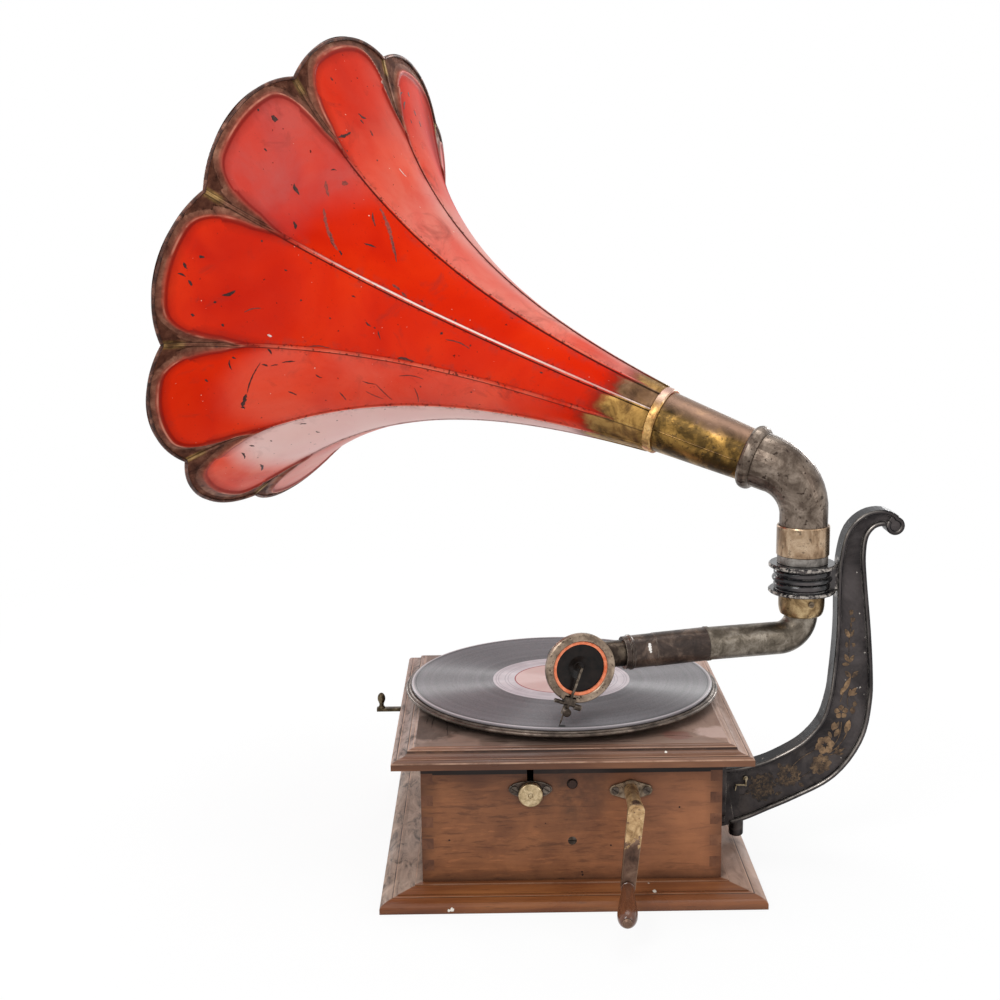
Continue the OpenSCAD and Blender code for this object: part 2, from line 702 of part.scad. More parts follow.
module bracket() {
  lug_x = foot_x + 18.6;
  lug_r = 5.9;
  lug_low = plate_mid_z - 48.5;
  color(black_paint) difference() {
    union() {
      translate([0, bracket_y + bracket_t / 2, 0]) rotate([90, 0, 0])
        linear_extrude(height = bracket_t) bracket_outline(0, 0, bracket_end);
      // scroll at the top
      translate([curl_x, bracket_y + bracket_t / 2, curl_z]) rotate([90, 0, 0]) cylinder(r = curl_r, h = bracket_t);
      // foot against the wall plate
      translate([foot_x, bracket_y, plate_mid_z]) rotate([0, 90, 0])
        linear_extrude(height = 7) lobed_plate(wall_plate_y - 17, plate_half_z - 4, 12);
      // round stud under the foot
      translate([lug_x, bracket_y, lug_low]) rotate_extrude()
        polygon(concat([[0, 0]], arc(lug_r - 2, 2, 2, 2, -90, 0, 5), [[lug_r, 28], [0, 28]]));
      // web to the collar
      translate([collar_x, bracket_y - 7, collar_low + 3.4]) cube([34, 14, collar_h - 6.8]);
      collar_body();
    }
    // sunk panels between the raised edges, on both faces
    for (y = [bracket_y + bracket_t / 2 + overlap, bracket_y - bracket_t / 2 + bracket_sink])
      translate([0, y, 0]) rotate([90, 0, 0]) linear_extrude(height = bracket_sink + overlap)
        bracket_outline(bracket_rim, 0.7, bracket_end - 0.6);
    wire_hook_place() cylinder(r = hook_r, h = hook_in);
    translate([collar_x, bracket_y, collar_low - overlap])
      cylinder(r = collar_bore, h = collar_h + 2 * overlap);
  }
}

// Two thin flanges with three rounded bands between them
module collar_body() {
  k = collar_h / 24;
  translate([collar_x, bracket_y, collar_low]) rotate_extrude() polygon(concat(
    [[collar_bore - overlap, 0], [flange_r - 1, 0], [flange_r, k], [flange_r, 2.4 * k], [flange_r - 1, 3.2 * k],
     [collar_r, 3.2 * k]],
    arc(collar_r - 0.4, 6.4 * k, 1.4, 2.6 * k, -80, 80, 6), arc(collar_r - 0.2, 11.6 * k, 2.4, 2.4 * k, -80, 80, 6),
    arc(collar_r - 0.4, 16.7 * k, 1.4, 2.4 * k, -80, 80, 6),
    [[collar_r, 20.4 * k], [flange_r - 1, 20.4 * k], [flange_r, 21.2 * k], [flange_r, 23 * k], [flange_r - 1, collar_h],
     [collar_bore - overlap, collar_h]]));
}

// Bent brass wire left on the bracket's foot
hook_x = foot_x + 24.5;
hook_z = plate_mid_z + 2.5;
hook_r = 0.9;
hook_in = 4;

module wire_hook_place() {
  translate([hook_x, bracket_y - bracket_t / 2 + bracket_sink, hook_z]) rotate([-90, 0, 0]) children();
}

module wire_hook() {
  wire_y = bracket_y - bracket_t / 2 - 0.6;
  low_z = hook_z - 5;
  color("#c9ae74") {
    wire_hook_place() translate([0, 0, -bracket_sink - 1.4]) cylinder(r = hook_r, h = bracket_sink + 1.4 + hook_in);
    wire_hook_place() translate([0, 0, -bracket_sink]) cylinder(r = hook_r + 1, h = bracket_sink);
    translate([hook_x, wire_y, low_z - hook_r]) cylinder(r = hook_r, h = 5 + hook_r);
    translate([hook_x - 8, wire_y, low_z]) rotate([0, 90, 0]) cylinder(r = hook_r * 0.9, h = 8);
    translate([hook_x - 7.6, wire_y, low_z + hook_r * 0.9]) rotate([0, 190, 0]) cylinder(r = hook_r * 0.8, h = 5.5);
  }
}

// Tone arm. Its own frame: +X runs out along the arm from the swing axis, +Y is the face side

module arm_frame() {
  translate([collar_x, bracket_y, 0]) rotate([0, 0, 180 + arm_turn]) children();
}

cup_wall = 1.3;
cup_low_r = arm_r + 1.9;
cup_low = lift_z - 12.3;
lift_max = 14;
lift_pin_r = 1.6;

// Outline of the cup at an inset from its outside
function cup_side(inset) =
  arc(cup_low_r - inset, lift_z - 2, cup_r - cup_low_r, lift_z - 2 - cup_low, 0, -90, 8);

module arm_cup() {
  spigot_r = collar_bore - spigot_gap;
  color(worn_brass) translate([collar_x, bracket_y, 0]) difference() {
    rotate_extrude() polygon(concat(
      [[spigot_r - 1.4, collar_z - 1], [spigot_r, collar_z - 1], [spigot_r, cup_top], [cup_r, cup_top]],
      cup_side(0), reversed(cup_side(cup_wall)), [[cup_r - cup_wall, cup_top - 1.2], [spigot_r - 1.4, cup_top - 1.2]]));
    rotate([0, 0, 180 + arm_turn]) {
      // room for the neck of the tube while the arm lifts
      for (lift = [0:lift_max / 2:lift_max]) translate([0, 0, lift_z]) rotate([0, -lift, 0])
        translate([0, 0, -30]) cylinder(r = arm_r + 0.5, h = 34);
      translate([0, 0, lift_z]) rotate([90, 0, 0]) cylinder(r = lift_pin_r, h = 60, center = true);
    }
  }
}

module cup_screws() {
  color(nickel) arm_frame() for (side = [-1, 1]) translate([0, 0, lift_z]) rotate([side * 90, 0, 0]) {
    translate([0, 0, arm_r - arm_wall - 0.4]) cylinder(r = lift_pin_r, h = cup_r - arm_r + arm_wall + 0.6);
    translate([0, 0, cup_r]) slotted_head(2.4, 1, 0.6);
  }
}

// Tube: upright neck in the cup, a quarter bend, then straight out to the sleeve
arm_neck_top = lift_z + 6;
spigot_l = 12;
sleeve_bore = arm_r - 0.4;

module tube_path(r) {
  translate([0, 0, arm_z + arm_bend]) cylinder(r = r, h = arm_neck_top - arm_z - arm_bend);
  translate([arm_bend, 0, arm_z + arm_bend]) rotate([90, 0, 0]) rotate([0, 0, 180])
    rotate_extrude(angle = 90) translate([arm_bend, 0]) circle(r = r);
  translate([arm_bend, 0, arm_z]) rotate([0, 90, 0]) cylinder(r = r, h = sleeve_start - arm_bend - 0.5);
}

// The sleeve and what it carries lean down a little from the tube: +Z runs along them
module sleeve_frame() {
  translate([sleeve_start, 0, arm_z]) rotate([0, 90 + sleeve_lean, 0]) children();
}

module arm_tube() {
  color(nickel) arm_frame() difference() {
    union() {
      tube_path(arm_r);
      sleeve_frame() {
        translate([0, 0, -2.5]) cylinder(r = arm_r + 0.6, h = 2.5);
        translate([0, 0, -1]) cylinder(r = sleeve_bore, h = spigot_l + 1);
      }
    }
    tube_path(arm_r - arm_wall);
    sleeve_frame() translate([0, 0, -3]) cylinder(r = sleeve_bore - arm_wall, h = spigot_l + 3 + overlap);
    translate([0, 0, arm_neck_top - overlap]) cylinder(r = arm_r - arm_wall, h = 2 * overlap);
    translate([0, 0, lift_z]) rotate([90, 0, 0]) cylinder(r = lift_pin_r + pin_gap, h = 60, center = true);
  }
}

sleeve_r_out = arm_r + 0.2;
crook_r = 10.3;
crook_wall = 1;
crook_in = 26;
crook_end = 17;

module arm_sleeve() {
  color("#3c2e28") arm_frame() sleeve_frame() rotate_extrude() polygon([
    [sleeve_bore, 0], [sleeve_r_out, 0], [sleeve_r_out, 43], [sleeve_r_out - 0.3, 43.3],
    [sleeve_r_out - 0.3, sleeve_l - 7], [sleeve_r_out + 0.5, sleeve_l - 6], [sleeve_r_out + 0.5, sleeve_l - 4.4],
    [sleeve_r_out - 0.3, sleeve_l - 3.6], [sleeve_r_out - 0.5, sleeve_l], [crook_r + spigot_gap, sleeve_l],
    [crook_r + spigot_gap, sleeve_l - crook_in - 2], [arm_r - arm_wall, sleeve_l - crook_in - 2],
    [arm_r - arm_wall, spigot_l], [sleeve_bore, spigot_l]]);
}

face_s = soundbox_s - sleeve_start;
face_z = arm_z - face_s * sin(sleeve_lean);
boss_r = 8;
boss_out = 13;

module arm_crook() {
  end_z = face_s + crook_end;
  color(nickel) arm_frame() sleeve_frame() difference() {
    union() {
      rotate([0, 0, 45]) rotate_extrude() polygon(concat(
        [[0, sleeve_l - crook_in], [crook_r, sleeve_l - crook_in]], arc(crook_r - 5, end_z - 5, 5, 5, 0, 90, 6),
        [[0, end_z]]));
      translate([0, 0, face_s]) rotate([-90, 0, 0]) cylinder(r = boss_r, h = boss_out);
    }
    translate([0, 0, sleeve_l - crook_in - overlap])
      cylinder(r = crook_r - crook_wall, h = face_s - sleeve_l + crook_in + boss_r + 2.5);
    translate([0, 0, face_s]) rotate([-90, 0, 0]) cylinder(r = boss_r - crook_wall, h = boss_out + overlap);
  }
}

// Soundbox frame: +Z points out of its face, +Y is up, -X runs out along the arm
module face_frame() {
  arm_frame() sleeve_frame() translate([0, 0, face_s]) rotate([-90, 0, 0]) rotate([0, 0, 90]) children();
}

ring_t = 4.5;
ring_in = soundbox_r - 5.9;
gasket_in = ring_in - 2.3;
gasket_t = 3;
gasket_z = soundbox_off - 1.2 - gasket_t;

module soundbox_housing() {
  color(nickel) face_frame() rotate_extrude() polygon([
    [boss_r - crook_wall, boss_out], [14, boss_out], [18, boss_out + 2], [soundbox_r - 1.4, soundbox_off - ring_t - 1],
    [soundbox_r - 1.4, soundbox_off - ring_t], [ring_in, soundbox_off - ring_t], [ring_in, gasket_z],
    [ring_in - 3, gasket_z], [ring_in - 4, boss_out + 4.4], [boss_r - crook_wall, boss_out + 3]]);
}

module soundbox_ring() {
  color(nickel) face_frame() difference() {
    rotate_extrude() polygon([
      [ring_in, soundbox_off - ring_t], [soundbox_r, soundbox_off - ring_t], [soundbox_r, soundbox_off - 0.8],
      [soundbox_r - 0.8, soundbox_off], [ring_in + 0.6, soundbox_off], [ring_in, soundbox_off - 0.6]]);
    rotate([0, 0, -needle_lean]) translate([-bar_block_w / 2, -soundbox_r - 4, soundbox_off - ring_t - overlap])
      cube([bar_block_w, 4 + 4.4, ring_t + 3]);
  }
}

module soundbox_gasket() {
  color("#d8552c") face_frame() translate([0, 0, gasket_z]) ring(ring_in, gasket_in, gasket_t);
}

module diaphragm() {
  plate_z = gasket_z + gasket_t / 2;
  color("#17130f") face_frame() difference() {
    rotate_extrude() polygon([
      [0, plate_z - 4], [4, plate_z - 4], [9, plate_z - 1.6], [gasket_in, plate_z - 0.6],
      [gasket_in, plate_z], [14, plate_z], [9, plate_z - 1], [4, plate_z - 3.2], [2.5, plate_z - 3.2],
      [2.5, plate_z - 1.8], [0, plate_z - 1.8]]);
    translate([0, 0, plate_z - 6]) cylinder(r = 1, h = 8);
  }
}

// Needle bar: from the middle of the diaphragm down over the ring to its pivot block and chuck
bar_block_w = 9;
bar_z = soundbox_off + 0.4;
chuck_r = 2.5;
chuck_z = soundbox_off - 2.6;
chuck_top = soundbox_r - 0.6;
chuck_low = soundbox_r + 10.5;
needle_r = 0.7;

module stylus_bar() {
  plate_z = gasket_z + gasket_t / 2;
  color("#6d675c") face_frame() rotate([0, 0, -needle_lean]) {
    difference() {
      union() {
        // thin bar, foot on the diaphragm
        translate([-0.9, -chuck_top, bar_z]) cube([1.8, chuck_top + 1.2, 1.6]);
        translate([0, 0, plate_z - 3.4]) cylinder(r = 1, h = bar_z + 1 - plate_z + 3.4);
        // pivot block in the gap of the ring
        translate([-bar_block_w / 2, -soundbox_r - 1.4, soundbox_off - ring_t]) cube([bar_block_w, 5, ring_t + 2]);
        translate([0, -soundbox_r - 1.8, chuck_z + 1]) rotate([0, 90, 0]) cylinder(r = 1.6, h = 22, center = true);
        translate([5.5, -soundbox_r - 2.6, chuck_z + 1]) rotate([0, 90, 0]) cylinder(r = 2.3, h = 5.5);
        translate([0, -chuck_top, chuck_z]) rotate([90, 0, 0]) cylinder(r = chuck_r, h = chuck_low - chuck_top);
      }
      translate([0, -soundbox_r - 1, chuck_z]) rotate([90, 0, 0]) cylinder(r = needle_r, h = 20);
      translate([0, -screw_down, chuck_z]) cylinder(r = screw_r + pin_gap, h = 20);
    }
  }
}

// The needle runs from the chuck down to the record
screw_down = soundbox_r + 7.6;
screw_r = 1.2;
screw_out = 4;
needle_top = soundbox_r + 1;
needle_tip = (face_z - record_top - needle_gap) / cos(needle_lean - sleeve_lean);

module needle() {
  color("#c9c7c2") face_frame() rotate([0, 0, -needle_lean]) translate([0, -needle_top, chuck_z]) rotate([90, 0, 0])
    rotate_extrude() polygon([[0, 0], [needle_r, 0], [needle_r, needle_tip - needle_top - 4],
      [0.12, needle_tip - needle_top], [0, needle_tip - needle_top]]);
}

module needle_screw() {
  color("#8a8474") face_frame() rotate([0, 0, -needle_lean]) translate([0, -screw_down, chuck_z]) {
    translate([0, 0, needle_r + seat_gap]) cylinder(r = screw_r, h = screw_out);
    translate([0, 0, screw_out]) rotate_extrude() polygon([
      [0, 0], [2, 0], [3.3, 0.6], [3.3, 2.4], [2.6, 3], [0, 3]]);
  }
}

// Horn. Its own frame: +Z runs out along the horn's axis from the elbow's corner

module horn_frame() {
  translate([collar_x, bracket_y, horn_z]) rotate([0, 0, -horn_turn]) rotate([0, horn_rise - 90, 0]) children();
}

ring_foot = collar_top + seat_gap;
brass_z = ring_foot + zinc_ring_h;
elbow_foot = brass_z + 3;
brass_top = brass_z + brass_ring_h;
bend_angle = 90 - horn_rise;
bend_start = elbow_bend * tan(bend_angle / 2);
elbow_wall = 1;
bead_s = 43.5;
bead_r = 26.4;
bead_half = 5.4;
elbow_end = bead_s + 5;
sleeve_r = 21.4;
sleeve_end_r = 25.4;
sleeve_in = 20;
slide_gap = 0.4;

// Distance along the elbow's middle line: an upright stretch, the bend, then the horn's axis
upright_l = horn_z - bend_start - elbow_foot;
bend_l = elbow_bend * PI * bend_angle / 180;
elbow_l = upright_l + bend_l + elbow_end - bend_start;

// Place on the middle line at distance u, and its direction, in the plane of the elbow
function elbow_at(u) =
  u < upright_l ? [0, elbow_foot + u]
  : u < upright_l + bend_l ? let (a = (u - upright_l) / bend_l * bend_angle)
      [elbow_bend * (1 - cos(a)), horn_z - bend_start + elbow_bend * sin(a)]
  : let (s = bend_start + u - upright_l - bend_l) [s * cos(horn_rise), horn_z + s * sin(horn_rise)];
function elbow_dir(u) =
  u < upright_l ? 0 : min((u - upright_l) / bend_l, 1) * bend_angle;
// Outer radius of the elbow at u: it widens along the bend and carries a bead near its mouth
function elbow_rad(u) =
  let (t = min(max((u - upright_l) / (bend_l * 1.1), 0), 1),
    s = bend_start + u - upright_l - bend_l,
    b = (s - bead_s) / bead_half,
    tube = elbow_r + (elbow_mouth_r - elbow_r) * t)
  abs(b) < 1 ? max(tube, elbow_mouth_r + (bead_r - elbow_mouth_r) * sqrt(1 - b * b)) : tube;

elbow_sides = 32;
bead_rings = 8;
elbow_stops = concat(
  [0, upright_l - 0.5], [for (i = [0:9]) upright_l + bend_l * i / 9],
  [for (i = [0:bead_rings]) upright_l + bend_l - bend_start + bead_s - bead_half * cos(180 * i / bead_rings)],
  [elbow_l]);

// One ring of points round the middle line at distance u
function elbow_ring(u, r) =
  let (c = elbow_at(u), a = elbow_dir(u))
  [for (i = [0:elbow_sides - 1]) let (b = i * 360 / elbow_sides)
    [-(c[0] + r * cos(b) * cos(a)), r * sin(b), c[1] - r * cos(b) * sin(a)]];

module elbow_skin(stops, radii) {
  n = len(stops);
  points = [for (i = [0:n - 1]) each elbow_ring(stops[i], radii[i])];
  wall = [for (i = [0:n - 2], j = [0:elbow_sides - 1]) let (k = (j + 1) % elbow_sides, m = elbow_sides)
    each [[i * m + j, i * m + k, (i + 1) * m + k], [i * m + j, (i + 1) * m + k, (i + 1) * m + j]]];
  polyhedron(points, concat(wall, [[for (j = [elbow_sides - 1:-1:0]) j]],
    [[for (j = [0:elbow_sides - 1]) (n - 1) * elbow_sides + j]]));
}

module horn_elbow() {
  color(steel) translate([collar_x, bracket_y, 0]) rotate([0, 0, -horn_turn]) difference() {
    elbow_skin(elbow_stops, [for (u = elbow_stops) elbow_rad(u)]);
    elbow_skin([-overlap, for (u = elbow_stops) if (u > 0 && u < elbow_l) u, elbow_l + overlap],
      [elbow_r - elbow_wall, for (u = elbow_stops) if (u > 0 && u < elbow_l)
        elbow_r - elbow_wall + (sleeve_r + slide_gap - elbow_r + elbow_wall) * min(max((u - upright_l) / bend_l, 0), 1),
        sleeve_r + slide_gap]);
  }
}

module brass_ring() {
  color("#9c7f54") translate([collar_x, bracket_y, brass_z]) rotate_extrude() polygon([
    [elbow_r, 3], [elbow_r, brass_ring_h - 0.6], [elbow_r + 0.6, brass_ring_h], [elbow_r + 1.2, brass_ring_h],
    [elbow_r + 1.75, brass_ring_h - 1], [elbow_r + 1.75, 0.6], [elbow_r + 1.2, 0],
    [elbow_r - elbow_wall, 0], [elbow_r - elbow_wall, 3]]);
}

module zinc_ring() {
  spigot_r = collar_bore - spigot_gap;
  color("#6f7476") translate([collar_x, bracket_y, ring_foot]) rotate_extrude() polygon([
    [spigot_r - 1.4, -10], [spigot_r, -10], [spigot_r, 0], [elbow_r + 1, 0],
    [elbow_r + 1, zinc_ring_h], [spigot_r - 1.4, zinc_ring_h]]);
}

module horn_sleeve() {
  start = elbow_end - sleeve_in;
  color(worn_brass) horn_frame() rotate_extrude() polygon([
    [sleeve_r - 0.8, start], [sleeve_r, start], [sleeve_r, elbow_end],
    [sleeve_end_r, petal_start - 7], [sleeve_end_r, petal_start], [sleeve_end_r - 0.8, petal_start],
    [sleeve_end_r - 0.8, petal_start - 7], [sleeve_r - 0.8, elbow_end]]);
}

module throat_band() {
  color("#8a5a34") horn_frame() rotate_extrude() polygon([
    [sleeve_end_r, petal_start - 7], [throat_r - 0.6, petal_start - 7], [throat_r + 0.3, petal_start - 6],
    [throat_r + 0.3, petal_start], [sleeve_end_r, petal_start]]);
}

// Horn flare: radius at t, from 0 at the first petals to 1 at the rim
function flare_r(t) = throat_r * pow(rim_r / throat_r, flare_share * t + (1 - flare_share) * t * t);
petal_l = horn_l - petal_start;
petal_turn = 360 / petal_n;
seam_angle = 6.3;
rows = 18;
cols = 8;

// How much of the petal's bulge shows at t along the horn and w across it, from -1 to 1
function bulge_at(t, w) = pow(t, 5) * (1 - w * w);
// Skin point in the horn frame: inset moves it inwards, square to the flare
function petal_point(k, t, w, inset) =
  let (e = 0.001,
    slope = atan2(flare_r(t + e) - flare_r(t - e), 2 * e * petal_l),
    lift = inset * (t <= 0 ? 0 : 1),
    r = flare_r(t) + petal_bulge * bulge_at(t, w) - (t <= 0 ? inset : inset * cos(slope)),
    s = petal_start + t * petal_l + petal_reach * bulge_at(t, w) + lift * sin(slope),
    a = seam_angle + petal_turn * (k - 0.5 + w / 2))
  [r * cos(a), r * sin(a), s];

// Rows are closer together towards the rim, where the flare is steepest
function row_t(i) = sin(90 * i / rows * 0.999) / sin(89.91);

module petal(k) {
  m = cols + 1;
  n = (rows + 1) * m;
  outer = [for (i = [0:rows], j = [0:cols]) petal_point(k, row_t(i), 2 * j / cols - 1, 0)];
  inner = [for (i = [0:rows], j = [0:cols]) petal_point(k, row_t(i), 2 * j / cols - 1, sheet_t)];
  skin = [for (i = [0:rows - 1], j = [0:cols - 1]) let (a = i * m + j)
    each [[a, a + m, a + m + 1], [a, a + m + 1, a + 1],
      [n + a, n + a + m + 1, n + a + m], [n + a, n + a + 1, n + a + m + 1]]];
  seams = [for (i = [0:rows - 1]) let (a = i * m, b = i * m + cols)
    each [[a, n + a, n + a + m], [a, n + a + m, a + m], [b, b + m, n + b + m], [b, n + b + m, n + b]]];
  ends = [for (j = [0:cols - 1]) let (a = j, b = rows * m + j)
    each [[a, a + 1, n + a + 1], [a, n + a + 1, n + a], [b, n + b, n + b + 1], [b, n + b + 1, b + 1]]];
  color(horn_red) horn_frame() polyhedron(concat(outer, inner), concat(skin, seams, ends));
}

// Spring motor

motor_w = 160;
motor_x = 14;
motor_d = 128;
motor_y = 18;
pillar_r = 5;
stud_r = 2.5;
nut_r = 4.4;
nut_t = 2.4;
barrel_x = crank_x;
barrel_y = 30;
gear_m = 1;
barrel_teeth = 80;
train_teeth = 56;
small_teeth = 14;
crown_r = 20;
bevel_w = 3;
bevel_r = 10;
bevel_y = barrel_y - crown_r + bevel_w / 2;
crown_z = crank_z - bevel_r;
governor_y = -20;
governor_z = wheel_z + 2.5;
governor_disc_x = -50;
disc_r = 13;

// The intermediate shaft meshes with the barrel and with the spindle
reach_a = gear_m * (barrel_teeth + small_teeth) / 2;
reach_b = gear_m * (train_teeth + pinion_teeth) / 2;
span = norm([barrel_x - spindle_x, barrel_y]);
span_angle = atan2(barrel_y, barrel_x - spindle_x);
near = (reach_b * reach_b - reach_a * reach_a + span * span) / (2 * span);
train_angle = span_angle + acos(near / reach_b);
train_x = spindle_x + reach_b * cos(train_angle);
train_y = reach_b * sin(train_angle);

// Turn of a gear of n teeth, at direction line from one of m teeth turned by turn, for its
// gaps to take that one's teeth
function mesh_turn(line, turn, m, n) = line + 180 - 180 / n + (line - turn) * m / n;

module spur_gear(teeth, width, hole, turn = 0) {
  pitch_r = gear_m * teeth / 2;
  step = 360 / teeth;
  rotate([0, 0, turn]) linear_extrude(height = width) difference() {
    polygon([for (i = [0:teeth - 1]) each [
      (pitch_r - 1.25 * gear_m) * [cos((i - 0.33) * step), sin((i - 0.33) * step)],
      (pitch_r + 0.8 * gear_m) * [cos((i - 0.1) * step), sin((i - 0.1) * step)],
      (pitch_r + 0.8 * gear_m) * [cos((i + 0.1) * step), sin((i + 0.1) * step)],
      (pitch_r - 1.25 * gear_m) * [cos((i + 0.33) * step), sin((i + 0.33) * step)]]]);
    circle(r = hole);
  }
}

module pillar_places() {
  for (dx = [-1, 1], dy = [-1, 1])
    translate([motor_x + dx * (motor_w / 2 - 8), motor_y + dy * (motor_d / 2 - 8), 0]) children();
}

module motor_plate(z) {
  difference() {
    translate([motor_x - motor_w / 2, motor_y - motor_d / 2, z]) cube([motor_w, motor_d, plate_steel]);
    pillar_places() translate([0, 0, z - overlap]) cylinder(r = stud_r, h = plate_steel + 2 * overlap);
    translate([spindle_x, 0, z + (z == motor_low ? plate_steel : -overlap)])
      cylinder(r = hub_r + pin_gap, h = plate_steel + 2 * overlap);
    for (p = [[train_x, train_y, 3], [barrel_x, barrel_y, 4]])
      translate([p[0], p[1], z - overlap]) cylinder(r = p[2] + pin_gap, h = plate_steel + 2 * overlap);
  }
}

module motor_top_plate() {
  color(steel) motor_plate(motor_top);
}

governor_end = 62;

module motor_bottom_plate() {
  color(steel) {
    motor_plate(motor_low);
    // lugs that carry the governor shaft
    for (x = [-governor_end, 10]) difference() {
      translate([x - 1.5, governor_y - 5, motor_low + plate_steel - 0.5]) cube([3, 10, governor_z - motor_low + 2.5]);
      translate([x - 3, governor_y, governor_z]) rotate([0, 90, 0]) cylinder(r = 2 + pin_gap, h = 6);
    }
  }
}

module motor_pillars() {
  color(steel) pillar_places() {
    translate([0, 0, motor_low + plate_steel]) cylinder(r = pillar_r, h = motor_top - motor_low - plate_steel);
    translate([0, 0, motor_low - 3]) cylinder(r = stud_r, h = board_top - motor_low + 3);
    translate([0, 0, motor_low - 3]) cylinder(r = nut_r, h = 3);
    translate([0, 0, board_top - nut_t]) cylinder(r = nut_r, h = nut_t);
  }
}

barrel_z = motor_low + plate_steel + 1;
barrel_r = 35;
barrel_h = crown_z - 4 - barrel_z - 4;
barrel_wall = 1.5;
arbor_r = 4;

module spring_barrel() {
  color(worn_brass) translate([barrel_x, barrel_y, barrel_z]) difference() {
    union() {
      spur_gear(barrel_teeth, 4, arbor_r - 1,
        mesh_turn(atan2(barrel_y - train_y, barrel_x - train_x), 0, small_teeth, barrel_teeth));
      translate([0, 0, 2]) cylinder(r = barrel_r, h = barrel_h + 2);
    }
    translate([0, 0, 4 + barrel_wall]) cylinder(r = barrel_r - barrel_wall, h = barrel_h - 2 * barrel_wall);
    translate([0, 0, -overlap]) cylinder(r = arbor_r + pin_gap, h = barrel_h + 10);
  }
}

// Mainspring: a flat strip wound in one spiral inside the barrel
spring_turns = 7;
spring_t = 0.8;

module mainspring() {
  steps = spring_turns * 16;
  inner_r = arbor_r + seat_gap;
  outer_r = barrel_r - barrel_wall - spring_t;
  function coil_r(i) = inner_r + (outer_r - inner_r) * i / steps;
  color("#4a4e55") translate([barrel_x, barrel_y, barrel_z + 4 + barrel_wall + 0.5])
    linear_extrude(height = barrel_h - 2 * barrel_wall - 1) polygon(concat(
      [for (i = [0:steps]) let (a = i * 22.5) (coil_r(i) + spring_t) * [cos(a), sin(a)]],
      [for (i = [steps:-1:0]) let (a = i * 22.5) coil_r(i) * [cos(a), sin(a)]]));
}

// Crown wheel on the arbor: upright teeth round a disc
crown_teeth = 32;
bevel_teeth = 16;

module winding_gear() {
  color(steel) translate([barrel_x, barrel_y, 0]) {
    translate([0, 0, motor_low]) cylinder(r = arbor_r, h = motor_top + plate_steel - motor_low);
    translate([0, 0, crown_z - 3.4]) cylinder(r = crown_r + 3, h = 2.2);
    translate([0, 0, crown_z - 3.4]) cylinder(r = 7, h = 8);
    for (i = [0:crown_teeth - 1]) rotate([0, 0, (i + 0.5) * 360 / crown_teeth])
      translate([crown_r - 2.5, -0.5, crown_z - 1.6]) cube([5, 1, 2.3]);
  }
}

// Pinion of the crank shaft: its lowest tooth stands between two teeth of the crown wheel
module bevel_pinion() {
  cylinder(r = bevel_r - 1.4, h = bevel_w);
  for (i = [0:bevel_teeth - 1]) rotate([0, 0, 90 + i * 360 / bevel_teeth])
    translate([bevel_r - 2, -0.45, 0]) cube([2.7, 0.9, bevel_w]);
}

module train_gear() {
  color(worn_brass) translate([train_x, train_y, 0]) {
    translate([0, 0, motor_low]) cylinder(r = 3, h = motor_top + plate_steel - motor_low);
    translate([0, 0, barrel_z - 0.5]) spur_gear(small_teeth, 6, 2.9);
    translate([0, 0, pinion_z + 2])
      spur_gear(train_teeth, 4, 2.9, mesh_turn(train_angle, 0, pinion_teeth, train_teeth));
  }
}

// Governor: worm beside the spindle wheel, three weights on leaf springs, friction disc
ball_x = governor_disc_x + 17;
ball_r = 4.2;
worm_core = 3;
worm_l = 16;
worm_starts = 3;
worm_lead = worm_starts * PI * gear_m;

module governor() {
  color(worn_brass) translate([0, governor_y, governor_z]) rotate([0, 90, 0]) {
    translate([0, 0, -governor_end - 1.5]) cylinder(r = 2, h = governor_end + 13);
    // worm with three threads
    translate([0, 0, spindle_x - worm_l / 2]) linear_extrude(height = worm_l, twist = -360 * worm_l / worm_lead,
      slices = 30, $fn = 12) polygon([for (i = [0:11]) (worm_core + 0.8 * (i % 4 == 0 ? 1 : i % 4 == 2 ? -1 : 0))
        * [cos(i * 30), sin(i * 30)]]);
    translate([0, 0, governor_disc_x - 1.5]) cylinder(r = disc_r, h = 3);
    translate([0, 0, ball_x + 14]) cylinder(r = 4.4, h = 4);
    for (i = [0:2]) rotate([0, 0, i * 120]) {
      translate([8, 0, ball_x]) rotate_extrude()
        polygon(concat([[0, -ball_r]], arc(0, 0, ball_r, ball_r, -75, 75, 8), [[0, ball_r]]));
      translate([3.4, -1.5, governor_disc_x]) cube([0.8, 3, 2 * (ball_x - governor_disc_x)]);
    }
  }
}

case_front();
case_back();
case_left();
case_right();
base_mouldings();
bottom_board();
motor_board();
lid_mouldings();
front_plug();
front_screws();
regulator_plate();
regulator_knob();
crank_plate();
crank_shaft();
crank_arm();
crank_handle();
brake_lever();
brake_pivot();
platter();
spindle();
record();
wall_plate();
bracket();
bracket_screws();
wire_hook();
arm_cup();
cup_screws();
arm_tube();
arm_sleeve();
arm_crook();
soundbox_housing();
soundbox_ring();
soundbox_gasket();
diaphragm();
stylus_bar();
needle();
needle_screw();
horn_elbow();
brass_ring();
zinc_ring();
horn_sleeve();
throat_band();
petal(1);  // horn_petal_1
petal(2);  // horn_petal_2
petal(3);  // horn_petal_3
petal(4);  // horn_petal_4
petal(5);  // horn_petal_5
petal(6);  // horn_petal_6
petal(7);  // horn_petal_7
petal(8);  // horn_petal_8
petal(9);  // horn_petal_9
petal(10);  // horn_petal_10
motor_top_plate();
motor_bottom_plate();
motor_pillars();
spring_barrel();
mainspring();
winding_gear();
train_gear();
governor();
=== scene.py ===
import bisect
import math
import random

import bpy
from mathutils import Matrix, Vector


